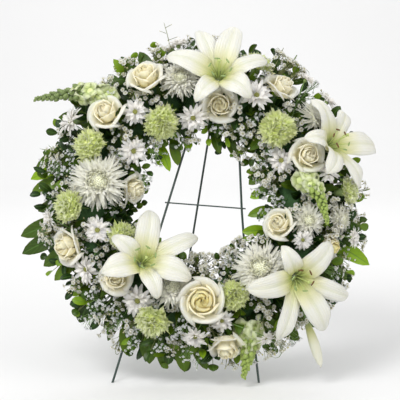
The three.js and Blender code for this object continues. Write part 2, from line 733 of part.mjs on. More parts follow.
function addSprays() {
  DAISY_SPRAYS.forEach((entry, i) => {
    add(face, `daisies_${String(i + 1).padStart(2, "0")}`, spray(entry, daisy, 0.24), COLOURS.daisy);
  });
  const head = (size) => ringSolid(mumHead(size), MUM_TOP * size);
  add(face, "mum_spray", spray(MUM_SPRAY, head, 0.4), COLOURS.mum);
}

function addLilies() {
  LILIES.forEach(({ place: [around, tilt, out], tips, bud }, i) => {
    const place = seat(around, tilt, out);
    const pieces = lily(tips, out - STEM_END).map((piece) => piece.applyMatrix4(place));
    if (bud) {
      const fork = vector(0, 0, 0).applyMatrix4(seat(around, tilt, bud.fork));
      const base = vector(...bud.base);
      pieces.push(rod(fork, base, 1.6, 4), lilyBud(base, vector(...bud.tip), bud.radius));
    }
    add(face, `lily_${i + 1}`, join(pieces), COLOURS.lily);
    boreStem(around, tilt, LILY_STEM_RADIUS);
  });
}

function addSnapdragons() {
  SNAPDRAGONS.forEach(({ stem, path, florets, size }, i) => {
    const points = path.map(([u, v, w]) => vector(u, v, w));
    const pieces = [...forkedStem(stem, [points[0]], 1.3), ...snapdragon(points, florets, size)];
    add(face, `snapdragon_${i + 1}`, join(pieces), COLOURS.snapdragon);
  });
}

function addWaxflower() {
  const { stem: [around, tilt], heads } = WAXFLOWER;
  const fork = foamExit(tilt) + FORK_CLEARANCE;
  const branches = heads.map(([u, v, w], i) => {
    const start = vector(0, 0, 0).applyMatrix4(seat(around, tilt, fork + FORK_STEP * i));
    return tinyBranch(start, vector(u, v, w), "wax");
  });
  const stems = forkedStem([around, tilt], [], 1, heads.length);
  add(face, "waxflower", join([...stems, ...branches]), COLOURS.wax);
}

function addLeafArcs() {
  for (const [name, arc] of Object.entries(LEAF_ARCS)) {
    add(face, name, leafArc(arc), COLOURS.leaf, 0.5);
  }
}

// Foam ring and its tray

const foamInner = RING_RADIUS - FOAM_WIDTH / 2;
const foamOuter = RING_RADIUS + FOAM_WIDTH / 2;

function latheRing(profile) {
  const geometry = new THREE.LatheGeometry(profile.map(([r, h]) => new THREE.Vector2(r, h)), RING_SIDES);
  return geometry.rotateX(Math.PI / 2);
}

function foamRing() {
  const back = TRAY_WALL + SEAM;
  const whole = latheRing([
    [foamInner, back], [foamOuter, back], [foamOuter, FOAM_FRONT - FOAM_CHAMFER],
    [foamOuter - FOAM_CHAMFER, FOAM_FRONT], [foamInner + FOAM_CHAMFER, FOAM_FRONT],
    [foamInner, FOAM_FRONT - FOAM_CHAMFER], [foamInner, back],
  ]);
  return cut(whole, stemHoles);
}

const trayInner = foamInner - SEAM - TRAY_WALL;
const trayOuter = foamOuter + SEAM + TRAY_WALL;

function tray() {
  return latheRing([
    [trayInner, 0], [trayOuter, 0], [trayOuter, TRAY_DEPTH], [trayOuter - TRAY_WALL, TRAY_DEPTH],
    [trayOuter - TRAY_WALL, TRAY_WALL], [trayInner + TRAY_WALL, TRAY_WALL],
    [trayInner + TRAY_WALL, TRAY_DEPTH], [trayInner, TRAY_DEPTH], [trayInner, 0],
  ]);
}

// A flat band round the ring and the leg behind it
function tie(angle) {
  const flat = Math.cos(Math.PI / RING_SIDES); // the tray's sides are flat between their corners
  const [near, far] = [trayInner * flat - SEAM, trayOuter + SEAM];
  const [low, high] = [LEG_LEVEL - LEG_RADIUS - SEAM, FOAM_FRONT + SEAM];
  const outline = (grow) => [
    [near - grow, low - grow], [far + grow, low - grow], [far + grow, high - FOAM_CHAMFER],
    [far - FOAM_CHAMFER, high + grow], [near + FOAM_CHAMFER, high + grow],
    [near - grow, high - FOAM_CHAMFER],
  ].map(([r, w]) => new THREE.Vector2(r, w));
  const shape = new THREE.Shape(outline(TIE_THICKNESS));
  shape.holes.push(new THREE.Path(outline(0)));
  const band = new THREE.ExtrudeGeometry(shape, { depth: TIE_WIDTH, bevelEnabled: false });
  band.translate(0, 0, -TIE_WIDTH / 2).rotateX(Math.PI / 2);
  return band.rotateZ(radians(angle));
}

// Easel

const FLOOR = -CENTRE_HEIGHT;
const hingeAt = (u) => onFace(u, HINGE_V, LEG_LEVEL);

function aboveFloor(geometry) {
  const [wide, deep] = [2000, 200];
  const block = new THREE.BoxGeometry(wide, wide, deep);
  return cut(geometry, [block.translate(0, 0, FLOOR - deep / 2)]);
}

const legPoints = (line) => line.map(([u, v]) => onFace(u, v, LEG_LEVEL));

function eye(u) {
  const centre = hingeAt(u);
  const loop = new THREE.TorusGeometry(EYE_RADIUS, LEG_RADIUS, 6, 12);
  return loop.rotateY(Math.PI / 2).translate(centre.x, centre.y, centre.z);
}

// A short wire that carries the tray's outer rim and turns in over it
function hook([u, v]) {
  const out = Math.hypot(u, v);
  const scale = (trayOuter + SEAM + HOOK_RADIUS) / out;
  const tipScale = (foamOuter + SEAM + HOOK_RADIUS) / out;
  const height = TRAY_DEPTH + SEAM + HOOK_RADIUS;
  const foot = onFace(u * scale, v * scale, LEG_LEVEL);
  const corner = onFace(u * scale, v * scale, height);
  const top = onFace(u * scale, v * scale, height + HOOK_RADIUS);
  const tip = onFace(u * tipScale, v * tipScale, height);
  return [rod(foot, top, HOOK_RADIUS, 6), rod(corner, tip, HOOK_RADIUS, 6)];
}

function leftLeg() {
  const leg = tube(legPoints(LEFT_LEG), LEG_RADIUS, 8, 4);
  return aboveFloor(join([leg, eye(LEFT_EYE_U), ...hook(HOOKS.left)]));
}

function rightLeg() {
  const pin = rod(hingeAt(PIN_START_U + 1), hingeAt(PIN_END_U), LEG_RADIUS, 8);
  const headStart = PIN_END_U + 1;
  const head = rod(hingeAt(headStart), hingeAt(headStart - PIN_HEAD.length), PIN_HEAD.radius, 8);
  const leg = tube(legPoints(RIGHT_LEG), LEG_RADIUS, 8, 6);
  return aboveFloor(join([leg, pin, head, ...hook(HOOKS.right)]));
}

function backLeg() {
  const top = hingeAt(BACK_EYE_U);
  const foot = vector(BACK_FOOT.x, BACK_FOOT.y, FLOOR);
  const along = vector(0, 0, 0).subVectors(foot, top).normalize();
  const start = top.clone().addScaledVector(vector(0, along.y, along.z).normalize(), EYE_RADIUS);
  const end = foot.clone().addScaledVector(along, BACK_FOOT.below);
  return aboveFloor(join([rod(start, end, LEG_RADIUS, 8), eye(BACK_EYE_U)]));
}

function crossbar() {
  const [left, right] = CROSSBAR.map(([u, v]) => onFace(u, v, CROSSBAR_LEVEL));
  return rod(left, right, CROSSBAR_RADIUS, 8);
}

function addEasel() {
  const wire = (name, geometry) => add(group, name, geometry, COLOURS.wire, 0.45, 0.4);
  wire("front_left_leg", leftLeg());
  wire("front_right_leg", rightLeg());
  wire("back_leg", backLeg());
  wire("crossbar", crossbar());
}

addEasel();
addBlooms("rose", ROSES, rose, COLOURS.rose);
addBlooms("carnation", CARNATIONS, carnation, COLOURS.carnation);
addBlooms("mum", MUMS, mum, COLOURS.mum);
addSprays();
addLilies();
addSnapdragons();
addLeafArcs();
addWaxflower();
add(face, "tray", tray(), COLOURS.tray, 0.5);
add(face, "tie_left", tie(TIE_ANGLES.left), COLOURS.tie, 0.6);
add(face, "tie_right", tie(TIE_ANGLES.right), COLOURS.tie, 0.6);
add(face, "foam_ring", foamRing(), COLOURS.foam, 0.95);

const box = new THREE.Box3().setFromObject(group, true);
const middle = box.getCenter(new THREE.Vector3());
group.position.set(-middle.x, -middle.y, -box.min.z);

export default group;
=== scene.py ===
from functools import lru_cache
from math import atan2, cos, degrees, hypot, pi, radians, sin, sqrt

import bpy
import numpy as np
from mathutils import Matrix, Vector


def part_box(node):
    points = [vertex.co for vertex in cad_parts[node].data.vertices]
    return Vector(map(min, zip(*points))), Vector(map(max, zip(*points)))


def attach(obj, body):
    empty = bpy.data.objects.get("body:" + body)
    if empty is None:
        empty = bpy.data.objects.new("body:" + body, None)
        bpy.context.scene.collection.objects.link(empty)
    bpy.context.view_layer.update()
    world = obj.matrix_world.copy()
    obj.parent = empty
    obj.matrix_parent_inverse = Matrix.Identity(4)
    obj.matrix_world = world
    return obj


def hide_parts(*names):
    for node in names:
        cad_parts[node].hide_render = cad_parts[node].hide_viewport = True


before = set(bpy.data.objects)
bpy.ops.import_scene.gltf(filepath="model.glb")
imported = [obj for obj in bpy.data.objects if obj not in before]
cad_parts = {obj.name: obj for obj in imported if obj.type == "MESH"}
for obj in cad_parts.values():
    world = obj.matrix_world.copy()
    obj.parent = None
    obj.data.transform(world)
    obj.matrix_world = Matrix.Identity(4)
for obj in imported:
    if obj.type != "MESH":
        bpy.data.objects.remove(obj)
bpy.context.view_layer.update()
BODY = "easel_with_wreath"

# Driving dimensions, in millimetres and degrees
LEAN = radians(15)
RING_RADIUS = 175
CORE_HEIGHT = 20
STEM_END = 10
STEM_RADIUS = 1.6
LILY_STEM_RADIUS = 2.4
TRAY_MIDDLE = 6  # of the tray's depth, above the wreath's back
FOAM_INNER = 137
FOAM_OUTER = 213
FOAM_FRONT = 45
HOLE_RADIUS = 90  # nothing that is added reaches further in
OUTER_RADIUS = 290
LILY_CLEARANCE = 34
FORK_CLEARANCE = 6  # how far outside the foam a stem forks
FORK_STEP = 3
FULL_DAISY = 19  # daisies over this radius have three layers of petals
FULL_TILT = 50  # and so have those that tilt further than this
GOLDEN = radians(137.508)
SKEW = (0.31, 0.27, 0.91)  # a direction that no stem follows
SEED = 11

# How many petals, beads and leaves
CARNATION_PETALS = 62
MUM_PETALS = 300
MUM_CENTRE = 84
SMALL_MUM_PETALS = 170
SMALL_MUM_CENTRE = 52
DAISY_PETALS = 17
DAISY_BEADS = 32
SNAPDRAGON_BUDS = 46
FILLER_GROUPS = 8
FILLER_LEAVES = 78  # in each group
OUTER_TWIGS = 84
INNER_TWIGS = 34
TWIG_GROUPS = 6
SPRIG_GROUPS = 8
SPRIG_SPREAD = 17  # radius of a sprig's crown
WAX_GAPS = 70  # sprigs set in the gaps between blooms
BREATH_GAPS = 58
WAX_HEADS = 13  # on each sprig
BREATH_HEADS = 15
GAP_INNER = 98  # radii between which sprigs fill the gaps
GAP_OUTER = 268

# How bright leaves are, from 0 to 1: one is drawn for each leaf
OUTER_TONES = [0, 0, 0.05, 0.1, 0.25, 0.6]
INNER_TONES = [0, 0.05, 0.1, 0.25, 0.7]

# Thickness of petals, in millimetres
ROSE_SKIN = 0.5
CARNATION_SKIN = 0.45
MUM_SKIN = 0.35
DAISY_SKIN = 0.4
LILY_SKIN = 0.8
FLORET_SKIN = 0.5


def face_axes(points):
    u, v, w = np.asarray(points, float).T
    return np.column_stack([u, v * sin(LEAN) - w * cos(LEAN), v * cos(LEAN) + w * sin(LEAN)]) / 1000


def box_middle(node):
    low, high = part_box(node)
    return (np.array(low) + np.array(high)) / 2


rng = np.random.default_rng(SEED)
CENTRE = box_middle("tray") - face_axes([[0, 0, TRAY_MIDDLE]])[0]


def to_frame(points):
    return face_axes(points) + CENTRE


def unit(vector):
    vector = np.asarray(vector, float)
    return vector / (np.linalg.norm(vector) + 1e-12)


def seat(around, tilt, out, turn=0.0):
    """A place above the foam as a 4x4: Z away from the ring's core, X away from the ring."""
    t, s = radians(tilt), radians(turn)
    radial, tangent = compass(radians(around))
    axis = radial * sin(t) + np.array([0, 0, cos(t)])
    outwards = np.cross(tangent, axis)
    place = np.eye(4)
    place[:3, 0] = outwards * cos(s) + tangent * sin(s)
    place[:3, 1] = tangent * cos(s) - outwards * sin(s)
    place[:3, 2] = axis
    place[:3, 3] = radial * RING_RADIUS + np.array([0, 0, CORE_HEIGHT]) + axis * out
    return place


def facing(place, direction, turn=0.0, size=1.0):
    """A 4x4 that turns +Z towards a direction, spins, scales and moves to a place."""
    axis = unit(direction)
    helper = np.array([0, 0, 1.0]) if abs(axis[2]) < 0.9 else np.array([1.0, 0, 0])
    side = unit(np.cross(helper, axis))
    other = np.cross(axis, side)
    matrix = np.eye(4)
    matrix[:3, 0] = (side * cos(turn) + other * sin(turn)) * size
    matrix[:3, 1] = (other * cos(turn) - side * sin(turn)) * size
    matrix[:3, 2] = axis * size
    matrix[:3, 3] = place
    return matrix


def compass(angle):
    """The directions outwards and sideways at an angle round Z."""
    return np.array([cos(angle), sin(angle), 0]), np.array([-sin(angle), cos(angle), 0])


def span(rows, columns):
    """The marks of a grid: from 0 to 1 along it, and from -1 to 1 across it."""
    return np.linspace(0, 1, rows)[:, None], np.linspace(-1, 1, columns)[None, :]


def laid_out(r, x, z, away, beside):
    """A grid of points from how far outwards, sideways and up each one lies."""
    r, x, z = (part[..., None] for part in np.broadcast_arrays(r, x, z))
    return r * away + x * beside + z * np.array([0, 0, 1])


def scaled(matrix, size):
    return matrix @ np.diag([size, size, size, 1])


def moved(points, matrix):
    return points @ matrix[:3, :3].T + matrix[:3, 3]


# Meshes: petals, stems and small bodies are gathered in a bunch, which becomes one piece

@lru_cache(maxsize=None)
def skin_faces(rows, columns):
    """Faces of a closed sheet: an upper skin, and a lower one that shares the upper one's rim."""
    upper = np.arange(rows * columns).reshape(rows, columns)
    lower = upper.copy()
    inner = (rows - 2) * (columns - 2)
    lower[1:-1, 1:-1] = rows * columns + np.arange(inner).reshape(rows - 2, columns - 2)
    top = np.stack([upper[:-1, :-1], upper[:-1, 1:], upper[1:, 1:], upper[1:, :-1]], -1)
    bottom = np.stack([lower[:-1, :-1], lower[1:, :-1], lower[1:, 1:], lower[:-1, 1:]], -1)
    return np.concatenate([top.reshape(-1, 4), bottom.reshape(-1, 4)])


def sheet(grid, thickness):
    """A petal or leaf from a grid of points, base row first: its points, faces and marks."""
    rows, columns = grid.shape[:2]
    normal = np.cross(np.gradient(grid, axis=1), np.gradient(grid, axis=0))
    normal /= np.linalg.norm(normal, axis=2, keepdims=True) + 1e-9
    under = (grid - thickness * normal)[1:-1, 1:-1]
    along, across = np.meshgrid(np.linspace(0, 1, rows), np.linspace(-1, 1, columns), indexing="ij")
    marks = np.stack([along, across], -1)
    points = np.concatenate([grid.reshape(-1, 3), under.reshape(-1, 3)])
    marks = np.concatenate([marks.reshape(-1, 2), marks[1:-1, 1:-1].reshape(-1, 2)])
    return points, skin_faces(rows, columns), marks


def closed_body(rings):
    """A closed body through rings of points, with a fan over each end: its points, faces and marks."""
    count, sides = len(rings), len(rings[0])
    points = np.concatenate([*rings, [np.mean(rings[0], axis=0), np.mean(rings[-1], axis=0)]])
    index = np.arange(count * sides).reshape(count, sides)
    ahead = np.roll(index, -1, axis=1)
    walls = np.stack([index[:-1], ahead[:-1], ahead[1:], index[1:]], -1).reshape(-1, 4)
    base = np.stack([ahead[0], index[0], np.full(sides, len(points) - 2)], -1)
    cap = np.stack([index[-1], ahead[-1], np.full(sides, len(points) - 1)], -1)
    marks = np.zeros((len(points), 2))
    marks[:-2, 0] = np.repeat(np.linspace(0, 1, count), sides)
    marks[-1, 0] = 1
    return points, (walls, base, cap), marks


def lathe(profile, sides, ridges=0, ridge_depth=0.0):
    """A closed body of revolution round Z from (radius, height) pairs, base first."""
    angles = np.arange(sides) * 2 * pi / sides
    swell = 1 + ridge_depth * np.cos(ridges * angles)
    across, beside = swell * np.cos(angles), swell * np.sin(angles)
    return closed_body([np.column_stack([r * across, r * beside, np.full(sides, float(h))])
                        for r, h in profile])


def tube(path, radii, sides=5):
    """A closed stem along a path of points."""
    path = np.asarray(path, float)
    along = np.gradient(path, axis=0)
    side = np.cross(along[0], SKEW)
    angles = np.arange(sides) * 2 * pi / sides
    rings = []
    for point, direction, radius in zip(path, along, np.broadcast_to(radii, len(path))):
        direction = unit(direction)
        side = unit(side - direction * side.dot(direction))
        other = np.cross(direction, side)
        rings.append(point + radius * (np.outer(np.cos(angles), side) + np.outer(np.sin(angles), other)))
    return closed_body(rings)


def curve(points, count):
    """A line of that many points: straight through two points, or bent through three."""
    points = np.asarray(points, float)
    t = np.linspace(0, 1, count)[:, None]
    if len(points) == 2:
        return points[0] * (1 - t) + points[1] * t
    bend = 2 * points[1] - (points[0] + points[2]) / 2
    return points[0] * (1 - t) ** 2 + 2 * bend * t * (1 - t) + points[2] * t**2


def through(points, count):
    """A smooth line through the given points (Catmull-Rom), as that many points."""
    points = np.asarray(points, float)
    padded = np.vstack([2 * points[0] - points[1], points, 2 * points[-1] - points[-2]])
    line = []
    for x in np.linspace(0, len(points) - 1 - 1e-9, count):
        i = int(x)
        t = x - i
        a, b, c, d = padded[i:i + 4]
        line.append(0.5 * (2 * b + (c - a) * t + (2 * a - 5 * b + 4 * c - d) * t**2
                           + (3 * b - a - 3 * c + d) * t**3))
    return np.array(line)


RIM = 0.999  # marks this near to their limit are on a sheet's rim


def rim_of(marks):
    """Which points of a sheet lie on its rim."""
    along, across = marks.T
    return (along < 1 - RIM) | (along > RIM) | (np.abs(across) > RIM)


class Bunch:
    """Closed bodies gathered into one piece. Each has a material, and a tone from 0 to 1."""

    def __init__(self):
        self.points, self.marks, self.tones, self.rims = [], [], [], []
        self.quads, self.triangles = [], []
        self.quad_slots, self.triangle_slots = [], []
        self.count = 0

    def add(self, shape, material, tone=0.5, matrix=None):
        points, faces, marks = shape
        if matrix is not None:
            points = moved(points, matrix)
        if isinstance(faces, tuple):
            quads, triangles = faces[0], np.concatenate(faces[1:])
            self.triangles.append(triangles + self.count)
            self.triangle_slots += [material] * len(triangles)
            rim = np.zeros(len(points), bool)
        else:
            quads, rim = faces, rim_of(marks)
        self.quads.append(quads + self.count)
        self.quad_slots += [material] * len(quads)
        self.points.append(points)
        self.marks.append(marks)
        self.tones.append(np.full(len(points), tone))
        self.rims.append(rim)
        self.count += len(points)

    def stand_for(self, node, slot):
        self.piece(node + "_fine", slot, node)

    def piece(self, name, slot, *replaced):
        faces = [face.tolist() for group in self.quads + self.triangles for face in group]
        mesh = bpy.data.meshes.new(name)
        mesh.from_pydata(to_frame(np.concatenate(self.points)).tolist(), [], faces)
        used = self.quad_slots + self.triangle_slots
        materials = list(dict.fromkeys(used))
        for material in materials:
            mesh.materials.append(material)
        place = {material: i for i, material in enumerate(materials)}
        mesh.polygons.foreach_set("material_index", [place[material] for material in used])
        mesh.polygons.foreach_set("use_smooth", [True] * len(faces))
        marks = np.concatenate(self.marks)
        values = {"along": marks[:, 0], "across": marks[:, 1], "tone": np.concatenate(self.tones)}
        for key, numbers in values.items():
            layer = mesh.attributes.new(key, "FLOAT", "POINT")
            layer.data.foreach_set("value", np.ascontiguousarray(numbers, dtype=np.float32))
        mesh.update(calc_edges=True)
        edges = np.empty(2 * len(mesh.edges), dtype=np.int32)
        mesh.edges.foreach_get("vertices", edges)
        crisp = np.concatenate(self.rims)[edges].reshape(-1, 2).all(axis=1)
        mesh.attributes.new("sharp_edge", "BOOLEAN", "EDGE").data.foreach_set("value", crisp)
        piece = bpy.data.objects.new(name, mesh)
        bpy.context.scene.collection.objects.link(piece)
        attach(piece, BODY)
        if replaced:
            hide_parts(*replaced)


# Materials

class Look:
    """A node material in the making, with short calls for the nodes it uses."""

    def __init__(self, name, roughness, **sockets):
        self.material = bpy.data.materials.new(name)
        self.material.use_nodes = True
        self.tree = self.material.node_tree
        self.shader = self.tree.nodes["Principled BSDF"]
        self.shader.inputs["Roughness"].default_value = roughness
        for socket, value in sockets.items():
            self.shader.inputs[socket.replace("_", " ")].default_value = value

    def node(self, kind, **settings):
        made = self.tree.nodes.new(kind)
        for key, value in settings.items():
            setattr(made, key, value)
        return made

    def link(self, source, target):
        self.tree.links.new(source, target)

    def mark(self, name):
        return self.node("ShaderNodeAttribute", attribute_name=name).outputs["Fac"]

    def noise(self, scale, detail=3.0):
        made = self.node("ShaderNodeTexNoise")
        made.inputs["Scale"].default_value = scale
        made.inputs["Detail"].default_value = detail
        self.link(self.node("ShaderNodeTexCoord").outputs["Object"], made.inputs["Vector"])
        return made.outputs["Fac"]

    def ramp(self, value, stops):
        made = self.node("ShaderNodeValToRGB")
        ramp = made.color_ramp
        while len(ramp.elements) < len(stops):
            ramp.elements.new(0.5)
        for element, (position, colour) in zip(ramp.elements, stops):
            element.position = position
            element.color = (*colour, 1)
        self.link(value, made.inputs["Fac"])
        return made.outputs["Color"]

    def feed(self, socket, value):
        """Gives a socket a link, a colour or a number."""
        if isinstance(value, bpy.types.NodeSocket):
            self.link(value, socket)
        elif isinstance(value, tuple):
            socket.default_value = (*value, 1)
        else:
            socket.default_value = value

    def mix(self, amount, first, second):
        made = self.node("ShaderNodeMix", data_type="RGBA")
        colours = [socket for socket in made.inputs if socket.type == "RGBA"]
        factor = next(socket for socket in made.inputs if socket.type == "VALUE")
        for socket, value in ((factor, amount), (colours[0], first), (colours[1], second)):
            self.feed(socket, value)
        return next(socket for socket in made.outputs if socket.type == "RGBA")

    def math(self, operation, first, second=0.0):
        made = self.node("ShaderNodeMath", operation=operation)
        for socket, value in zip(made.inputs, (first, second)):
            self.feed(socket, value)
        return made.outputs["Value"]

    def colour(self, value):
        self.link(value, self.shader.inputs["Base Color"])

    def bump(self, height, strength, distance):
        made = self.node("ShaderNodeBump")
        made.inputs["Strength"].default_value = strength
        made.inputs["Distance"].default_value = distance
        self.link(height, made.inputs["Height"])
        self.link(made.outputs["Normal"], self.shader.inputs["Normal"])


def petal_look(name, base, tip, deep, veins=14.0, roughness=0.55, base_reach=0.5, tone_gain=0.25,
               depth=0.00006):
    """A petal: one colour at its base, another towards its tip, with fine veins along it.
    The tone of each petal moves it towards a deeper colour."""
    look = Look(name, roughness, Subsurface_Weight=0.8, Subsurface_Scale=0.005, Sheen_Weight=0.1,
                Subsurface_Radius=(1.0, 0.95, 0.85))
    along = look.mark("along")
    across = look.mark("across")
    tint = look.ramp(along, [(0.0, base), (base_reach, tip), (1.0, tip)])
    tint = look.mix(look.math("MULTIPLY", look.mark("tone"), tone_gain * 2), tint, deep)
    ribs = look.math("SINE", look.math("MULTIPLY", across, veins))
    faint = look.math("MULTIPLY", look.math("ADD", ribs, 1.0), 0.04)
    patches = look.math("MULTIPLY", look.noise(260.0), 0.14)
    shade = look.math("ADD", faint, patches)
    look.colour(look.mix(shade, tint, deep))
    look.bump(look.math("ADD", ribs, look.noise(500.0)), 0.4, depth)
    return look.material


def leaf_look(name, dark, light, rib, roughness=0.38):
    look = Look(name, roughness, Subsurface_Weight=0.05, Subsurface_Scale=0.002, Specular_IOR_Level=0.24)
    across = look.math("ABSOLUTE", look.mark("across"))
    along = look.mark("along")
    tint = look.mix(look.mark("tone"), dark, light)
    patches = look.noise(140.0)
    tint = look.mix(look.math("MULTIPLY", patches, 0.3), tint, dark)
    midrib = look.math("SUBTRACT", 1.0, look.math("MULTIPLY", across, 9.0))
    slanted = look.math("SUBTRACT", along, look.math("MULTIPLY", across, 0.25))
    veins = look.math("SINE", look.math("MULTIPLY", slanted, 52.0))
    veins = look.math("MULTIPLY", look.math("MAXIMUM", veins, 0.0), 0.16)
    marks = look.math("MAXIMUM", midrib, veins)
    look.colour(look.mix(look.math("MINIMUM", look.math("MAXIMUM", marks, 0.0), 0.7), tint, rib))
    look.bump(look.math("SUBTRACT", look.noise(300.0), marks), 0.5, 0.0002)
    return look.material


def plain_look(name, first, second, scale, roughness, depth=0.0001, strength=0.4, **sockets):
    """A surface whose colour wanders between two shades, with fine relief."""
    look = Look(name, roughness, **sockets)
    look.colour(look.mix(look.noise(scale), first, second))
    look.bump(look.noise(scale * 4), strength, depth)
    return look.material


ROSE = petal_look("rose petal", (0.97, 0.87, 0.42), (0.98, 0.955, 0.82), (0.98, 0.795, 0.24),
                  base_reach=0.85, tone_gain=0.46)
CARNATION = petal_look("carnation petal", (0.42, 0.56, 0.06), (0.87, 0.92, 0.38), (0.62, 0.75, 0.12),
                       base_reach=0.95)
MUM = petal_look("chrysanthemum petal", (0.88, 0.89, 0.54), (0.98, 0.962, 0.895), (0.86, 0.88, 0.38),
                 base_reach=0.3)
DAISY = petal_look("daisy petal", (0.88, 0.88, 0.70), (0.97, 0.93, 0.875), (0.89, 0.85, 0.77),
                   base_reach=0.3)
DISC = plain_look("daisy disc", (0.06, 0.09, 0.01), (0.48, 0.48, 0.14), 1400.0, 0.8)
SNAP = petal_look("snapdragon floret", (0.44, 0.58, 0.10), (0.78, 0.85, 0.46), (0.54, 0.68, 0.16),
                  base_reach=0.7)
SNAP_BUD = petal_look("snapdragon bud", (0.22, 0.34, 0.03), (0.38, 0.50, 0.08), (0.10, 0.14, 0.07),
                      tone_gain=0.4)
BUD = plain_look("green bud", (0.15, 0.23, 0.07), (0.32, 0.42, 0.16), 400.0, 0.6)
STEM = plain_look("green stem", (0.10, 0.22, 0.04), (0.22, 0.34, 0.10), 300.0, 0.55)
LEAF = leaf_look("broad leaf", (0.009, 0.030, 0.003), (0.30, 0.50, 0.012), (0.08, 0.17, 0.03), 0.38)
WOODY = plain_look("brown twig", (0.12, 0.12, 0.045), (0.22, 0.27, 0.09), 500.0, 0.8)
WAX = petal_look("waxflower petal", (0.48, 0.42, 0.18), (0.88, 0.87, 0.78), (0.74, 0.68, 0.48),
                 base_reach=0.35)
WAX_BUD = plain_look("waxflower bud", (0.26, 0.24, 0.07), (0.70, 0.66, 0.42), 900.0, 0.5)
PUFF = petal_look("breath petal", (0.84, 0.86, 0.78), (0.90, 0.90, 0.90), (0.82, 0.83, 0.82),
                  base_reach=0.3)
ANTHER = plain_look("anther", (0.06, 0.035, 0.015), (0.20, 0.10, 0.03), 1500.0, 0.9)
FILAMENT = plain_look("filament", (0.34, 0.42, 0.10), (0.52, 0.60, 0.22), 300.0, 0.5)
WIRE = plain_look("green wire paint", (0.014, 0.035, 0.028), (0.03, 0.06, 0.048), 160.0, 0.36,
                  strength=0.15, Specular_IOR_Level=0.6)
TRAY = plain_look("green tray plastic", (0.012, 0.05, 0.02), (0.03, 0.09, 0.035), 90.0, 0.42,
                  strength=0.2)
TIE = plain_look("green strap", (0.02, 0.07, 0.03), (0.05, 0.12, 0.06), 260.0, 0.5)
FOAM = plain_look("floral foam", (0.03, 0.09, 0.03), (0.08, 0.18, 0.06), 700.0, 0.95, depth=0.0012,
                  strength=0.8)


def lily_look():
    look = Look("lily tepal", 0.42, Subsurface_Weight=0.5, Subsurface_Scale=0.003, Sheen_Weight=0.1,
                Subsurface_Radius=(1.0, 0.9, 0.7))
    along = look.mark("along")
    across = look.math("ABSOLUTE", look.mark("across"))
    white = (0.70, 0.69, 0.635)
    throat = look.ramp(along, [(0.0, (0.08, 0.13, 0.01)), (0.19, (0.17, 0.23, 0.02)),
                               (0.27, (0.42, 0.45, 0.10)), (0.37, (0.63, 0.61, 0.36)), (0.50, white)])
    rib = look.math("MULTIPLY", look.math("SUBTRACT", 1.0, look.math("MULTIPLY", across, 3.4)),
                    look.math("SUBTRACT", 1.05, along))
    tint = look.mix(look.math("MULTIPLY", look.math("MAXIMUM", rib, 0.0), 0.42), throat,
                    (0.48, 0.53, 0.18))
    ribs = look.math("SINE", look.math("MULTIPLY", across, 30.0))
    faint = look.math("MULTIPLY", look.math("ADD", ribs, 1.0), 0.09)
    look.colour(look.mix(look.math("ADD", faint, look.math("MULTIPLY", look.noise(120.0), 0.12)),
                         tint, (0.60, 0.60, 0.42)))
    look.bump(look.math("ADD", ribs, look.noise(300.0)), 0.6, 0.00025)
    return look.material


LILY = lily_look()

# Petals


def rose_petal(size, angle, rim, top, belly, spread, curl, tuck):
    """A cupped rose petal. Rim, top and belly are its edge's radius and height and the radius of
    its widest place below, as parts of the size: inner petals close over the heart."""
    rows = 10
    t, s = span(rows, 9)
    profile = through([[0.10, -0.85, 0], [0.6 * belly, -0.62, 0], [0.95 * belly, (top - 1.0) / 2, 0],
                       [belly, top - 0.30, 0], [0.35 * belly + 0.65 * rim, top - 0.07, 0],
                       [rim, top - 0.08 * curl, 0]], rows)
    r = profile[:, :1] + tuck * s * t + curl * 0.07 * np.abs(s) ** 3 * t**4
    r = r + 0.014 * np.sin(3.5 * s + 3 * angle) * t**2 + 0.05 * curl * t**8
    z = profile[:, 1:2] - (0.17 + 0.17 * rim) * np.abs(s) ** 2.1 * t**2
    z = z + 0.05 * curl * np.exp(-18 * s**2) * t**4 + 0.012 * np.sin(6 * s + 5 * angle) * t**3
    a = angle + spread * s * (0.35 + 0.65 * np.sqrt(t)) * np.ones_like(t)
    return np.stack([r * np.cos(a), r * np.sin(a), z * np.ones_like(a)], -1) * size


ROSE_WHORLS = [  # petals, rim, top, belly, spread, curl
    (2, 0.02, 0.54, 0.11, 2.0, 0.0), (3, 0.07, 0.56, 0.20, 1.5, 0.0), (3, 0.15, 0.545, 0.31, 1.35, 0.1),
    (4, 0.27, 0.50, 0.42, 1.1, 0.3), (5, 0.55, 0.36, 0.53, 0.95, 1.0), (5, 1.02, 0.04, 0.72, 0.9, 1.0),
]


def add_stem(bunch, size, base, out, matrix, radius=STEM_RADIUS):
    line = [[0, 0, -(out - STEM_END)], [0, 0, base * size]]
    bunch.add(tube(curve(line, 4), radius), STEM, 0.4, matrix)


def add_sepals(bunch, size, matrix, count, reach, height):
    for i in range(count):
        away, _ = compass(2 * pi * i / count + 0.3)
        path = curve([away * 0.1 * size + [0, 0, -0.88 * size],
                      away * reach * 0.7 * size + [0, 0, -0.8 * size],
                      away * reach * size + [0, 0, height * size]], 6)
        bunch.add(blade(path, 0.11 * size, up=away - np.array([0, 0, 0.4])), LEAF, 0.55, matrix)


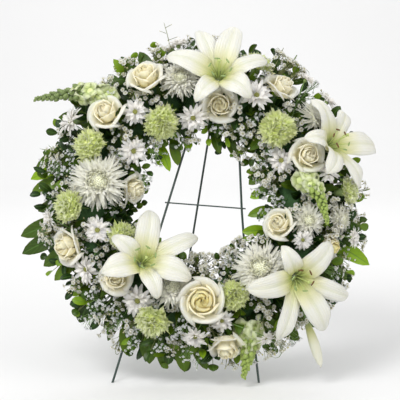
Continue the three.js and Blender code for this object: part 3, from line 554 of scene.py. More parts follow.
def rose(size, out, matrix, blush, openness):
    bunch = Bunch()
    turn = rng.uniform(0, 2 * pi)
    for k, (count, rim, top, belly, spread, curl) in enumerate(ROSE_WHORLS):
        wide = rim ** (1 / openness)
        for i in range(count):
            angle = turn + 2 * pi * i / count + rng.uniform(-0.22, 0.22)
            lift = top + rng.uniform(-0.045, 0.045)
            grid = rose_petal(size, angle, wide * rng.uniform(0.93, 1.05), lift,
                              belly ** (1 / openness), spread, curl, 0.06 + 0.05 * rim)
            tone = (1 - rim) ** 1.6 * blush + rng.uniform(0, 0.06)
            bunch.add(sheet(grid, ROSE_SKIN), ROSE, tone, matrix)
        turn += 2.1 + 0.35 * k
    bunch.add(lathe([(0.05, -1.0), (0.12, -0.95), (0.16, -0.85), (0.1, -0.7)], 8), BUD, 0.5,
              scaled(matrix, size))
    add_sepals(bunch, size, matrix, 5, 0.55, -0.45)
    add_stem(bunch, size, -0.95, out, matrix)
    return bunch


def blade(path, half_width, up=(0, 0, 1), fold=0.2, wave=0.0, columns=5, widest=0.45, tip_width=0.05,
          thickness=0.7, blunt=0.8):
    """A leaf or strap petal along a path, broadest at `widest`, folded along its midrib."""
    rows = len(path)
    along = np.gradient(path, axis=0)
    side = np.cross(along, np.asarray(up, float))
    side /= np.linalg.norm(side, axis=1, keepdims=True) + 1e-9
    normal = np.cross(side, along)
    normal /= np.linalg.norm(normal, axis=1, keepdims=True) + 1e-9
    t = np.linspace(0, 1, rows)
    power = np.log(0.5) / np.log(widest)
    width = half_width * np.maximum(np.sin(pi * np.clip(t, 0, 1) ** power), 0) ** blunt
    width = np.maximum(width, half_width * np.where(t < 0.5, 0.09, tip_width))
    s = np.linspace(-1, 1, columns)
    lift = fold * np.abs(s)[None, :] * width[:, None]
    lift = lift + wave * np.sin(9 * t)[:, None] * s[None, :] * width[:, None]
    grid = path[:, None, :] + side[:, None, :] * (width[:, None] * s[None, :])[..., None]
    return sheet(grid + normal[:, None, :] * lift[..., None], thickness)


def carnation_petal(size, angle, reach, height, flare, phase, slant):
    rows, columns = 5, 13
    t, s = span(rows, columns)
    profile = curve([[0.08, -0.5, 0], [0.3 * reach + 0.05, 0.1 * height - 0.2, 0],
                     [reach, height, 0]], rows)
    width = 0.42 * t**0.9 * (0.75 + 0.4 * reach)
    ruffle = 0.13 * t**1.6 * np.sin(6.5 * s + phase)
    fringe = 0.045 * t**4 * np.where(np.arange(columns) % 2 == 0, 1, -1)[None, :]
    r = profile[:, :1] + flare * ruffle + fringe
    z = profile[:, 1:2] + (1 - 0.5 * flare) * ruffle - 0.10 * s**2 * t + fringe
    x = width * s + 0.04 * t**2 * np.cos(5.5 * s + phase)
    r = r + slant * x * t
    return laid_out(r, x, z, *compass(angle)) * size


def carnation(size, out, matrix):
    bunch = Bunch()
    add_heart(bunch, size, matrix, CARNATION, 0.62, -0.3, 0.3, 0.2)
    for i in range(CARNATION_PETALS):
        f = sqrt((i + 0.2) / CARNATION_PETALS)
        reach = (0.03 + 0.95 * f) * rng.uniform(0.88, 1.06)
        height = 0.60 * (1 - f**2.0) + rng.uniform(-0.11, 0.11)
        flare = 0.9 - 0.7 * f
        slant = rng.uniform(-0.9, 0.9) * (1 - 0.5 * f)
        grid = carnation_petal(size, i * GOLDEN, reach, height, flare, rng.uniform(0, 2 * pi), slant)
        bunch.add(sheet(grid, CARNATION_SKIN), CARNATION, rng.uniform(0.0, 1.0), matrix)
    calyx = [(0.04, -1.15), (0.2, -1.08), (0.24, -0.8), (0.3, -0.5), (0.22, -0.35)]
    bunch.add(lathe(calyx, 10, 5, 0.05), BUD, 0.5, scaled(matrix, size))
    add_stem(bunch, size, -1.1, out, matrix)
    return bunch


MUM_FRINGE = 1.12  # the loose tips stand out past the solid


def mum_petals(bunch, size, matrix, petals):
    for i in range(petals):
        f = (i + 0.5) / petals
        a = i * GOLDEN + rng.uniform(-0.15, 0.15)
        rise = radians(88 * (1 - f) ** 0.8 - 16 + rng.uniform(-9, 9))
        reach = size * (0.44 + 0.64 * f**0.7) * rng.uniform(0.87, 1.05)
        away, beside = compass(a)
        start = away * 0.08 * size * sqrt(f) + [0, 0, -0.12 * size]
        tip = away * reach * cos(rise) + [0, 0, reach * sin(rise) - 0.06 * size]
        twist = beside * rng.uniform(-0.07, 0.07) * size
        middle = (start + tip) / 2 + away * 0.20 * size * (1 - 1.8 * f) + [0, 0, 0.07 * size] + twist
        path = curve([start, middle, tip], 6)
        up = np.array([0, 0, 1.0]) - away * 0.8 * sin(rise)
        half = size * (0.043 + 0.013 * f) + 0.25
        petal = blade(path, half, up, fold=0.3, columns=3, widest=0.66, tip_width=0.3,
                      thickness=MUM_SKIN)
        bunch.add(petal, MUM, max(0.0, 0.8 - 2.0 * f) + rng.uniform(0, 0.1), matrix)


def add_heart(bunch, size, matrix, material, radius, low, high, tone):
    """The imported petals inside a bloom, below the ones that stand out."""
    profile = [(0.3 * radius, low), (0.85 * radius, low + 0.06), (radius, low + 0.16),
               (0.85 * radius, high - 0.08), (0.45 * radius, high)]
    shape = lathe(profile, 24, 12, 0.07)
    bunch.add(shape, material, tone, scaled(matrix, size))


def add_centre(bunch, size, matrix, count):
    """The short florets that close over the middle of a chrysanthemum."""
    short = lathe([(0.03, -0.10), (0.055, 0.0), (0.062, 0.10), (0.03, 0.17)], 5)
    scale = scaled(matrix, size)
    for i in range(count):
        f = sqrt((i + 0.5) / count)
        spot = [0.31 * f * cos(i * GOLDEN), 0.31 * f * sin(i * GOLDEN), 0.25 - 0.13 * f**2]
        bunch.add(short, MUM, 1.0 - 0.5 * f, scale @ facing(spot, [0.6 * spot[0], 0.6 * spot[1], 0.3]))


def mum_head(bunch, size, matrix, florets, petals):
    add_heart(bunch, size, matrix, MUM, 0.48, -0.2, 0.18, 0.7)
    add_centre(bunch, size, matrix, florets)
    mum_petals(bunch, MUM_FRINGE * size, matrix, petals)
    cup = [(0.03, -0.58), (0.12, -0.5), (0.24, -0.38), (0.26, -0.2), (0.12, -0.1)]
    bunch.add(lathe(cup, 9, 9, 0.04), BUD, 0.5, scaled(matrix, size))


def mum(size, out, matrix):
    bunch = Bunch()
    mum_head(bunch, size, matrix, MUM_CENTRE, MUM_PETALS)
    add_stem(bunch, size, -0.55, out, matrix)
    return bunch


def daisy_head(bunch, size, matrix, full):
    """A daisy, with two layers of petals, or three where it is full or large."""
    for layer in range(3 if full or size > FULL_DAISY else 2):
        petals = DAISY_PETALS - 3 * layer
        for i in range(petals):
            a = 2 * pi * (i + 0.5 * layer) / petals + rng.uniform(-0.13, 0.13)
            away, beside = compass(a)
            rise = radians(2 + 15 * layer + rng.uniform(-16, 18))
            reach = size * rng.uniform(0.84, 1.14) * (1 - 0.14 * layer)
            start = away * 0.12 * size + [0, 0, -0.02 * size]
            tip = away * reach * cos(rise) + [0, 0, reach * sin(rise) - 0.03 * size]
            middle = (start + tip) / 2 + [0, 0, 0.07 * size] + beside * rng.normal(0, 0.03) * size
            path = curve([start, middle, tip], 6)
            petal = blade(path, 0.125 * size + 0.2, fold=rng.uniform(0.1, 0.5),
                          wave=rng.uniform(-0.1, 0.1), widest=0.62, tip_width=0.32,
                          thickness=DAISY_SKIN)
            bunch.add(petal, DAISY, rng.uniform(0, 0.3), matrix)
    scale = scaled(matrix, size)
    disc = [(0.1, -0.04), (0.16, -0.02), (0.17, 0.05), (0.13, 0.11), (0.06, 0.13)]
    bunch.add(lathe(disc, 12), DISC, 0.5, scale)
    bead = lathe([(0.012, 0), (0.026, 0.02), (0.012, 0.045)], 4)
    for i in range(DAISY_BEADS):
        f = sqrt((i + 0.5) / DAISY_BEADS)
        spot = [0.16 * f * cos(i * GOLDEN), 0.16 * f * sin(i * GOLDEN), 0.13 - 0.09 * f**2]
        direction = [spot[0], spot[1], 0.25]
        bunch.add(bead, DISC, 0.5, scale @ facing(spot, direction))
    bunch.add(lathe([(0.04, -0.34), (0.15, -0.24), (0.2, -0.08), (0.1, -0.02)], 8), BUD, 0.5, scale)


def fork_height(tilt, step=0):
    """How far from the core a spray's stem forks, just outside the foam."""
    t = radians(tilt)
    reach = min((FOAM_FRONT - CORE_HEIGHT) / cos(t), (FOAM_OUTER - RING_RADIUS) / max(abs(sin(t)), 1e-6))
    return reach + FORK_CLEARANCE + FORK_STEP * step


def seat_point(around, tilt, out):
    return seat(around, tilt, out)[:3, 3]


def spray_stems(bunch, stem, ends, radius=1.0):
    around, tilt = stem
    top = fork_height(tilt, len(ends) - 1)
    line = [seat_point(around, tilt, STEM_END), seat_point(around, tilt, top)]
    bunch.add(tube(curve(line, 4), STEM_RADIUS), STEM, 0.4)
    for i, end in enumerate(ends):
        start = seat_point(around, tilt, fork_height(tilt, i) - 1)
        bend = (start + end) / 2 + np.array([0, 0, 2.0])
        bunch.add(tube(curve([start, bend, end], 6), radius), STEM, 0.4)


# Lilies


def lily_tepal(angle, reach, inner, low):
    rows, columns = 17, 9
    t = np.linspace(0, 1, rows)
    s = np.linspace(-1, 1, columns)
    half = 21.0 if inner else 16.5
    away, beside = compass(angle)
    line = through([[3.5, -34, 0], [8, -20, 0], [0.26 * reach, -6 - low / 2, 0],
                    [0.52 * reach, 5 - low, 0], [0.76 * reach, 6 - low, 0],
                    [0.93 * reach, -2 - low, 0], [reach, -9 - low, 0]], rows)
    swell = np.maximum(np.sin(pi * np.clip(t * 0.97 + 0.03, 0, 1)), 0.0)
    width = half * swell ** np.where(t < 0.5, 0.85, 1.05)
    width = np.maximum(width, np.where(t < 0.5, 3.2, 0.6))
    tangent = np.gradient(line, axis=0)
    tangent /= np.linalg.norm(tangent, axis=1, keepdims=True)
    normal = away[None, :] * -tangent[:, 1:2] + np.array([[0, 0, 1.0]]) * tangent[:, :1]
    spine = away[None, :] * line[:, :1] + np.array([[0, 0, 1.0]]) * line[:, 1:2]
    groove = 0.16 * (1 - np.exp(-6 * np.abs(s)))[None, :] * width[:, None]
    roll = -0.42 * np.abs(s)[None, :] ** 2.4 * width[:, None] * (t[:, None] - 0.25)
    phase = rng.uniform(0, 6)
    swing = 3.4 * np.sin(13 * t + phase) * np.clip(4 * t * (1 - t), 0, 1)
    ripple = swing[:, None] * (s**3)[None, :]
    lift = groove + roll + ripple
    grid = spine[:, None, :] + beside[None, None, :] * (width[:, None] * s[None, :])[..., None]
    return grid + normal[:, None, :] * lift[..., None]


def lily(tips, out, matrix, dark_anthers):
    bunch = Bunch()
    for i, (angle, reach) in enumerate(tips):
        inner = i % 2 == 0
        grid = lily_tepal(radians(angle), reach, inner, 0 if inner else 5)
        bunch.add(sheet(grid, LILY_SKIN), LILY, rng.uniform(0, 1), matrix)
    for i in range(6):
        away, beside = compass(radians(60 * i + 25))
        end = away * 18 + [0, 0, 11]
        path = curve([away * 2.5 + [0, 0, -32], away * 8 + [0, 0, -4], end], 8)
        bunch.add(tube(path, 0.75), FILAMENT, 0.5, matrix)
        material = ANTHER if i < dark_anthers else BUD
        pod = lathe([(0.4, -5), (1.3, -3.4), (1.5, 0), (1.3, 3.4), (0.4, 5)], 7)
        bunch.add(pod, material, 0.5, matrix @ facing(end + [0, 0, 0.6], beside + away * 0.3))
    pistil = curve([[0, 0, -33], [1, 1, -4], [4, 3, 23]], 9)
    bunch.add(tube(pistil, [1.4, 1.3, 1.1, 1, 1, 1, 1, 1.1, 1.4]), FILAMENT, 0.2, matrix)
    bunch.add(lathe([(1.2, -1), (2.6, 0.6), (2.8, 2.2), (1.0, 2.8)], 9, 3, 0.28), FILAMENT, 0.1,
              matrix @ facing([4, 3, 23], [0.1, 0.08, 1]))
    funnel = lathe([(1.2, -44), (4.6, -42), (6.2, -36), (6.4, -30), (4, -26)], 12, 6, 0.05)
    bunch.add(funnel, LILY, 0.5, matrix)
    add_stem(bunch, 1, -43, out, matrix, LILY_STEM_RADIUS)
    return bunch


def add_lily_bud(bunch, place, fork, base, tip, radius):
    around, tilt = place
    base, tip = np.array(base, float), np.array(tip, float)
    start = seat_point(around, tilt, fork)
    bunch.add(tube(curve([start, (start + base) / 2 + [0, 4, 0], base], 7), 1.6), STEM, 0.5)
    length = np.linalg.norm(tip - base)
    form = [(0.15, 0.0), (0.5, 0.06), (0.78, 0.22), (1.0, 0.5), (0.92, 0.72), (0.5, 0.92), (0.12, 1.0)]
    shape = lathe([(radius * r, length * h) for r, h in form], 12, 3, 0.10)
    bunch.add(shape, LILY, 0.9, facing(base, tip - base))


# Snapdragons


def floret(bunch, place, direction, size, turn):
    matrix = facing(place, direction, turn)
    throat = [(0.10, -0.95), (0.26, -0.8), (0.34, -0.45), (0.42, -0.2), (0.2, -0.12)]
    bunch.add(lathe(throat, 8), SNAP, 0.6, scaled(matrix, size))
    t, s = span(5, 5)
    for i in range(5):
        sides = compass(2 * pi * i / 5 + rng.uniform(-0.1, 0.1))
        r = 0.22 + 0.72 * t - 0.12 * s**2 * t
        z = -0.3 + 0.52 * np.sqrt(t) - 0.3 * t**3 + 0.08 * np.sin(3.2 * s + i) * t
        width = 0.44 * np.sin(pi * (0.18 + 0.72 * t)) + 0.06
        grid = laid_out(r, width * s, z, *sides)
        bunch.add(sheet(grid * size, FLORET_SKIN), SNAP, rng.uniform(0, 0.5), matrix)


def snapdragon(stem, path, florets, size, tone):
    bunch = Bunch()
    points = np.array(path, float)
    spray_stems(bunch, stem, [points[0]], 1.3)
    line = through(points, 24)
    bunch.add(tube(line, np.linspace(1.7, 0.7, len(line))), STEM, 0.6)
    form = [(0.2, -1.2), (0.8, -0.7), (1.0, 0.0), (0.75, 0.8), (0.15, 1.45)]
    places = [(t, False) for t in np.linspace(0.08, 0.50, florets + 2)]
    places += [(t, True) for t in 0.44 + 0.56 * np.linspace(0, 1, SNAPDRAGON_BUDS) ** 0.9]
    for i, (t, is_bud) in enumerate(places):
        k = min(int(t * (len(line) - 1)), len(line) - 2)
        along = unit(line[k + 1] - line[k])
        across = unit(np.cross([0, 0, 1], along))
        other = np.cross(along, across)
        a = i * GOLDEN
        outwards = across * cos(a) + other * sin(a)
        spot = line[k] + (line[k + 1] - line[k]) * (t * (len(line) - 1) - k)
        if is_bud:
            radius = size * 0.42 * (1.40 - t) * rng.uniform(0.85, 1.15)
            shape = lathe([(r * radius, h * radius) for r, h in form], 7, 3, 0.08)
            place = spot + outwards * radius * (3.0 - 2.3 * t)
            bunch.add(shape, SNAP_BUD, tone, facing(place, along + outwards * 0.9))
        else:
            scale = size * (1.60 - 1.0 * t)
            direction = unit(outwards + along * (0.3 + 0.6 * t) + [0, 0, 0.25])
            floret(bunch, spot + direction * 0.9 * scale, direction, scale, rng.uniform(0, 6))
    return bunch


# Greenery and tiny flowers


def leaf(bunch, start, tip, half_width, tone, arch=0.14, up=(0, 0, 1), rows=10, columns=7):
    start, tip = np.asarray(start, float), np.asarray(tip, float)
    length = np.linalg.norm(tip - start)
    middle = (start + tip) / 2 + unit(up) * arch * length
    path = curve([start, middle, tip], rows)
    bunch.add(blade(path, half_width, up, fold=0.22, wave=0.05, columns=columns, widest=0.52,
                    blunt=0.62), LEAF, tone)


def wax_petals():
    t, s = span(3, 3)
    width = 0.16 + 0.30 * np.sin(pi * (0.15 + 0.6 * t))
    z = 0.10 + 0.12 * t - 0.1 * s**2
    return [sheet(laid_out(0.22 + 0.78 * t, width * s, z, *compass(2 * pi * i / 5)), 0.12)
            for i in range(5)]


def breath_petals():
    t, s = span(3, 3)
    petals = []
    for i in range(5):
        rise = 0.25 + 0.9 * (i % 3) / 2
        away, beside = compass(i * GOLDEN)
        away = away * cos(rise) + [0, 0, sin(rise)]
        petals.append(sheet(laid_out(0.1 + 0.85 * t, (0.20 + 0.34 * t) * s, 0.0, away, beside), 0.15))
    return petals


WAX_CUP = lathe([(0.06, -0.75), (0.26, -0.45), (0.34, -0.05), (0.24, 0.16), (0.1, 0.08)], 5)
BREATH_CUP = lathe([(0.05, -0.5), (0.25, -0.25), (0.2, 0.1)], 4)
SMALL_BUD = lathe([(0.1, -0.9), (0.42, -0.4), (0.5, 0.1), (0.2, 0.55)], 6)
# Tiny flowers: the petals and their material, the cup and its material
WAX_HEAD = (wax_petals(), WAX, WAX_CUP, WAX_BUD)
BREATH_HEAD = (breath_petals(), PUFF, BREATH_CUP, BUD)


def tiny_flower(bunch, head, place, direction, size):
    petals, material, cup, cup_material = head
    matrix = facing(place, direction, rng.uniform(0, 6), size)
    tone = rng.uniform(0, 0.4)
    for petal in petals:
        bunch.add(petal, material, tone, matrix)
    bunch.add(cup, cup_material, 0.5, matrix)


def in_reach(point):
    """Keeps a place clear of the middle of the ring, and inside the wreath's outer edge."""
    u, v, w = point
    r = hypot(u, v)
    scale = min(max(r, HOLE_RADIUS), OUTER_RADIUS) / r
    return np.array([u * scale, v * scale, w])


def sprig(bunch, root, crown, spread, heads, kind):
    """A branching sprig from the foam to a crown of tiny flowers."""
    root, crown = np.asarray(root, float), np.asarray(crown, float)
    away = unit(crown - root)
    material = WOODY if kind == "wax" else STEM
    path = curve([root, (root + crown) / 2 + rng.normal(0, 2, 3), crown], 6)
    bunch.add(tube(path, [1, 0.9, 0.8, 0.7, 0.6, 0.5], 4), material, 0.5)
    length = np.linalg.norm(crown - root)
    for i in range(heads):
        offset = rng.normal(0, 1, 3)
        offset = offset / np.linalg.norm(offset) * spread * rng.uniform(0.25, 1) ** 0.6
        end = in_reach(crown + offset + away * rng.uniform(-0.2, 0.5) * spread)
        join = root + (crown - root) * rng.uniform(0.55, 1.0)
        bend = (join + end) / 2 + away * 0.12 * spread
        bunch.add(tube(curve([join, bend, end], 3), [0.5, 0.43, 0.36], 3), material, 0.5)
        direction = unit(end - join) * 0.7 + away * 0.5 + [0, 0, 0.7] + rng.normal(0, 0.25, 3)
        if kind == "wax":
            if rng.random() < 0.74:
                tiny_flower(bunch, WAX_HEAD, end, direction, rng.uniform(3.4, 4.9))
            else:
                bunch.add(SMALL_BUD, WAX_BUD, 0.5, facing(end, direction, 0, rng.uniform(2.2, 3.2)))
        else:
            tiny_flower(bunch, BREATH_HEAD, end, direction, rng.uniform(2.4, 3.6))
    if kind == "wax":
        for _ in range(heads // 3):
            base = root + (crown - root) * rng.uniform(0.4, 1.0)
            tip = base + (rng.normal(0, 1, 3) + away) * 0.15 * length
            path = curve([base, (base + tip) / 2, in_reach(tip)], 5)
            bunch.add(blade(path, 0.9, away, fold=0.3, columns=3, thickness=0.4), LEAF, 0.35)


# Tables shared with the solids, in millimetres and degrees. Blooms: around, tilt, out, size, turn
ROSES = [
    (138, 29, 84, 31, 10), (114, 39, 86, 32, 40), (78, -12, 66, 29, 0), (54, 52, 84, 28, 70),
    (21, 13, 84, 29, 20), (-19, -26, 84, 26, 50), (-20, 57, 74, 23, 0), (-80, 62, 92, 30, 30),
    (-89, 0, 88, 36, 15), (-136, 16, 74, 28, 60), (-160, 52, 84, 31, 35), (171, -59, 76, 26, 5),
]
# How deep the colour of each rose's heart is, and how open each rose is
BLUSH = [0.65, 0.80, 0.80, 0.55, 0.60, 0.70, 1.5, 0.75, 1.3, 0.80, 0.75, 0.70]
OPENNESS = [0.95, 1.05, 0.95, 0.9, 0.95, 1.0, 1.0, 0.95, 1.15, 0.95, 1.0, 0.95]
CARNATIONS = [
    (155, 22, 80, 28, 0), (117, -25, 80, 30, 20), (67, 66, 88, 27, 40), (41, -1, 80, 31, 10),
    (3, 62, 88, 24, 30), (-176, 34, 82, 28, 50), (-153, -24, 76, 25, 15), (-111, 34, 82, 29, 35),
    (-71, -2, 69, 26, 5),
]
MUMS = [
    (171, -2, 71, 44, 0), (99, 24, 70, 33, 10), (35, 58, 78, 33, 20), (-50, -14, 71, 44, 5),
    (-107, -16, 65, 35, 12),
]
MUM_SPRAY = ((-10, 30), [(-12, 8, 64, 27, 15), (-8, 58, 74, 26, 0)])
DAISY_SPRAYS = [
    ((134, -6), [(127, 6, 66, 24, 0), (145, -30, 76, 25, 10)]),
    ((61, 10), [(61, 16, 78, 27, 5)]),
    ((16, 6), [(25, -22, 63, 24, 0), (11, 34, 78, 21, 0)]),
    ((-156, 20), [(-148, 44, 72, 25, 8), (-162, 4, 69, 24, 0), (-173, 66, 90, 18, 0)]),
    ((93, 4), [(95, -32, 72, 26, 6), (98, 72, 102, 22, 0), (82, 76, 104, 18, 0)]),
    ((-86, 30), [(-92, 44, 82, 22, 3), (-80, 28, 72, 20, 0), (-65, 60, 96, 16, 0)]),
    ((-18, 30), [(-23, 8, 76, 18, 0), (-14, 70, 98, 19, 0)]),
    ((43, 66), [(49, 78, 106, 19, 0), (38, 80, 106, 22, 5)]),
    ((149, 60), [(149, 62, 92, 28, 0)]),
    ((-123, 20), [(-121, 24, 64, 28, 0)]),
]
# Lilies: place, angle and reach of each tepal, and how many anthers are dark
LILIES = [
    ((81, 22, 100), [(-124, 70), (-61, 88), (-8, 100), (31, 97), (80, 95), (152, 68)], 0),
    ((22, 45, 102), [(-136, 66), (-74, 88), (-14, 108), (40, 84), (96, 84), (160, 66)], 4),
    ((-131, -20, 100), [(-147, 92), (-88, 66), (-30, 74), (62, 68), (112, 86), (158, 108)], 0),
    ((-40, 24, 100), [(-130, 92), (-66, 110), (-20, 104), (20, 100), (89, 80), (160, 62)], 3),
]
LILY_BUD = {"place": (-40, 24), "fork": 50, "base": (180, -206, 42), "tip": (204, -282, 36), "radius": 9}
# Snapdragons: stem, path, how many florets, size and tone of the buds
SNAPDRAGONS = [
    ((133, 66), [(-152, 163, 52), (-178, 180, 62), (-232, 182, 52), (-284, 176, 42)], 8, 15, 0.9),
    ((3, 10), [(172, 34, 72), (182, 24, 96), (200, -6, 110), (212, -46, 104)], 7, 13, 0.4),
    ((-69, 68), [(80, -206, 40), (84, -226, 44), (80, -262, 46), (73, -300, 42)], 8, 16, 0.4),
]
# Leaves on a twig round the ring: its radius, its start and end, its pegs, its leaves (angle of the
# base, tip, half width and brightness) and its sprigs (angle, kind and crowns)
LEAF_ARCS = {
    "leaves_outer_left": (222, 150, 206, (160, 196), [
        (152, (-284, 62, 12), 13, 0.2), (160, (-292, 40, 18), 13, 0.9), (167, (-292, 16, 8), 13, 0.3),
        (178, (-280, -14, 6), 11, 0.1), (187, (-308, -58, 14), 15, 0.12), (192, (-306, -88, 8), 15, 0.08),
        (199, (-268, -110, 16), 13, 0.15), (204, (-250, -134, 6), 11, 0.35)], None),
    "leaves_outer_bottom": (222, 212, 268, (218, 262), [
        (214, (-222, -160, 10), 14, 0.8), (219, (-206, -206, 12), 21, 0.05),
        (232, (-160, -226, 8), 13, 0.1), (239, (-124, -262, 14), 18, 0.25),
        (247, (-86, -276, 10), 16, 0.15), (253, (-62, -284, 4), 12, 0.2),
        (261, (-26, -290, 12), 14, 0.25), (266, (12, -286, 6), 12, 0.2)],
        (226, "gyp", [(-178, -186, 48), (-166, -176, 60), (-152, -190, 56), (-140, -206, 50),
                      (-150, -218, 44), (-124, -220, 56), (-112, -234, 46)])),
    "leaves_outer_right": (222, 292, 352, (302, 340), [
        (296, (128, -262, 8), 13, 0.15), (302, (168, -236, 14), 14, 0.2), (312, (196, -214, 6), 11, 0.2),
        (324, (232, -170, 12), 13, 0.15), (334, (262, -132, 6), 12, 0.2),
        (344, (290, -108, 18), 14, 0.75), (350, (282, -44, 10), 12, 0.2)],
        (294, "wax", [(116, -262, 40), (126, -232, 52), (140, -250, 44)])),
    "leaves_outer_top": (222, 100, 142, (106, 136), [
        (102, (-48, 272, 12), 11, 0.15), (110, (-106, 266, 10), 12, 0.1), (118, (-138, 248, 16), 10, 0.2),
        (126, (-160, 226, 8), 12, 0.15), (140, (-246, 150, 10), 13, 0.2)],
        (112, "wax", [(-74, 258, 60), (-118, 244, 44), (-122, 214, 66), (-136, 232, 52),
                      (-150, 200, 60)])),
    "leaves_inner_top": (128, 66, 128, (72, 120), [
        (70, (66, 74, 22), 9, 0.15), (80, (34, 84, 24), 9, 0.2), (100, (-20, 86, 26), 8, 0.85),
        (112, (-38, 64, 18), 10, 0.4), (124, (-52, 52, 30), 9, 0.9)], None),
    "leaves_inner_right": (128, -52, 34, (-30, 26), [
        (26, (84, 30, 24), 10, 0.3), (12, (86, 6, 28), 10, 0.95), (-4, (82, -24, 22), 9, 0.5),
        (-22, (72, -52, 26), 10, 0.85)],
        (-50, "wax", [(44, -88, 44), (58, -82, 54), (50, -104, 58), (72, -72, 48), (40, -104, 36)])),
    "leaves_inner_left": (128, 196, 270, (204, 240), [
        (200, (-86, -30, 22), 8, 0.2), (222, (-66, -62, 22), 9, 0.3), (240, (-36, -78, 26), 9, 0.35)],
        (258, "wax", [(-14, -102, 40), (2, -98, 52), (16, -104, 44), (6, -118, 60), (24, -114, 56)])),
}
TWIG_HEIGHT = 15
TWIG_RADIUS = 1.2
PEG_DEPTH = 12
WAXFLOWER = ((60, 40), [(136, 248, 48), (152, 236, 52), (144, 264, 50), (178, 232, 40), (166, 248, 44)])
# Crowns of the sprigs between the blooms: u and v
WAX_CROWNS = [
    (-129, 211), (-161, 194), (-77, 258), (-29, 281), (17, 284), (145, 234), (179, 234), (221, 185),
    (54, 116), (-76, 168), (-144, 82), (85, 108), (101, 48), (-5, -107), (13, -129), (59, -84),
    (-260, -45), (-200, -146), (-167, -146), (-133, -171), (-149, -257), (-50, -246), (50, -280),
    (242, -121), (258, -150), (269, -28), (278, 17), (76, 125), (153, 159), (-135, 108), (110, 74),
    (226, -54), (-51, 185), (250, -188), (-236, 14), (-253, 65), (166, -204), (103, -204), (284, -71),
    (110, 99), (126, 31),
]
BREATH_CROWNS = [
    (-167, -188), (-133, -204), (-100, -213), (-175, -171), (-28, -237), (-42, -221), (226, -129),
    (209, -146), (166, -246), (-218, -54), (-236, 48), (-116, -246), (-66, -246), (0, -268), (243, -96),
    (83, -270), (-83, -188), (-191, -204), (234, -154), (268, -87), (185, 14), (169, 48), (-151, -54),
    (93, 134), (-51, 116), (25, -154), (67, -154), (-211, 82), (204, 211), (-9, 251),
]


def ring_point(angle, radius, w):
    return np.array([radius * cos(radians(angle)), radius * sin(radians(angle)), w])


def leaf_arc(name, radius, start, end, pegs, leaves, heads):
    bunch = Bunch()
    twig = np.array([ring_point(a, radius, TWIG_HEIGHT) for a in np.linspace(start, end, 24)])
    bunch.add(tube(twig, TWIG_RADIUS, 6), WOODY, 0.5)
    inwards = 1 if radius > RING_RADIUS else -1
    side = FOAM_OUTER if radius > RING_RADIUS else FOAM_INNER
    for peg in pegs:
        line = [ring_point(peg, side - inwards * PEG_DEPTH, TWIG_HEIGHT),
                ring_point(peg, radius, TWIG_HEIGHT)]
        bunch.add(tube(curve(line, 3), TWIG_RADIUS, 6), WOODY, 0.5)
    for angle, tip, half_width, tone in leaves:
        leaf(bunch, ring_point(angle, radius, TWIG_HEIGHT), tip, half_width, tone)
    if heads:
        base, kind, crowns = heads
        for i, crown in enumerate(crowns):
            root = ring_point(base + 2 * i, radius, TWIG_HEIGHT)
            sprig(bunch, root, crown, 13, 9, kind)
    bunch.stand_for(name, "leaf")


def seated(table):
    """The number, size, distance from the core and place of each bloom in a table."""
    for i, (around, tilt, out, size, turn) in enumerate(table, 1):
        yield f"{i:02d}", size, out, seat(around, tilt, out, turn)


def build_blooms():
    for (number, size, out, place), blush, openness in zip(seated(ROSES), BLUSH, OPENNESS):
        rose(size, out, place, blush, openness).stand_for("rose_" + number, "rose_petal")
    for number, size, out, place in seated(CARNATIONS):
        carnation(size, out, place).stand_for("carnation_" + number, "carnation_petal")
    for number, size, out, place in seated(MUMS):
        mum(size, out, place).stand_for("mum_" + number, "mum_petal")


def build_sprays():
    stem, heads = MUM_SPRAY
    bunch = Bunch()
    spray_stems(bunch, stem, [seat_point(a, t, out - 0.4 * size) for a, t, out, size, _ in heads])
    for around, tilt, out, size, turn in heads:
        mum_head(bunch, size, seat(around, tilt, out, turn), SMALL_MUM_CENTRE, SMALL_MUM_PETALS)
    bunch.stand_for("mum_spray", "mum_petal")
    for i, (stem, heads) in enumerate(DAISY_SPRAYS):
        bunch = Bunch()
        spray_stems(bunch, stem, [seat_point(a, t, out - 0.24 * size) for a, t, out, size, _ in heads])
        for around, tilt, out, size, turn in heads:
            daisy_head(bunch, size, seat(around, tilt, out, turn), full=tilt > FULL_TILT)
        bunch.stand_for(f"daisies_{i + 1:02d}", "daisy_petal")


def build_lilies():
    for i, ((around, tilt, out), tips, dark) in enumerate(LILIES):
        bunch = lily(tips, out, seat(around, tilt, out), dark)
        if i == 3:
            add_lily_bud(bunch, **LILY_BUD)
        bunch.stand_for(f"lily_{i + 1}", "lily_petal")


def build_snapdragons():
    for i, spike in enumerate(SNAPDRAGONS):
        snapdragon(*spike).stand_for(f"snapdragon_{i + 1}", "snapdragon")


def build_waxflower():
    (around, tilt), crowns = WAXFLOWER
    bunch = Bunch()
    spray_stems(bunch, (around, tilt), [])
    for i, crown in enumerate(crowns):
        sprig(bunch, seat_point(around, tilt, fork_height(tilt, i) - 4), crown, 13, 10, "wax")
    bunch.stand_for("waxflower", "waxflower")


def bloom_spots():
    """Where each bloom stands, as u, v and the radius that small flowers keep clear of."""
    heads = ROSES + CARNATIONS + MUMS + MUM_SPRAY[1]
    heads += [head for _, group in DAISY_SPRAYS for head in group]
    spots = [(*seat_point(a, t, out)[:2], 0.72 * size) for a, t, out, size, _ in heads]
    return spots + [(*seat_point(*place)[:2], LILY_CLEARANCE) for place, _, _ in LILIES]


def gap_crowns(count):
    """Places in the gaps between the blooms, spread round the ring."""
    spots = bloom_spots()
    crowns = []
    while len(crowns) < count:
        a = rng.uniform(0, 2 * pi)
        r = sqrt(rng.uniform(GAP_INNER**2, GAP_OUTER**2))
        u, v = r * cos(a), r * sin(a)
        if all(hypot(u - x, v - y) > clear for x, y, clear in spots):
            crowns.append((u, v))
    return crowns


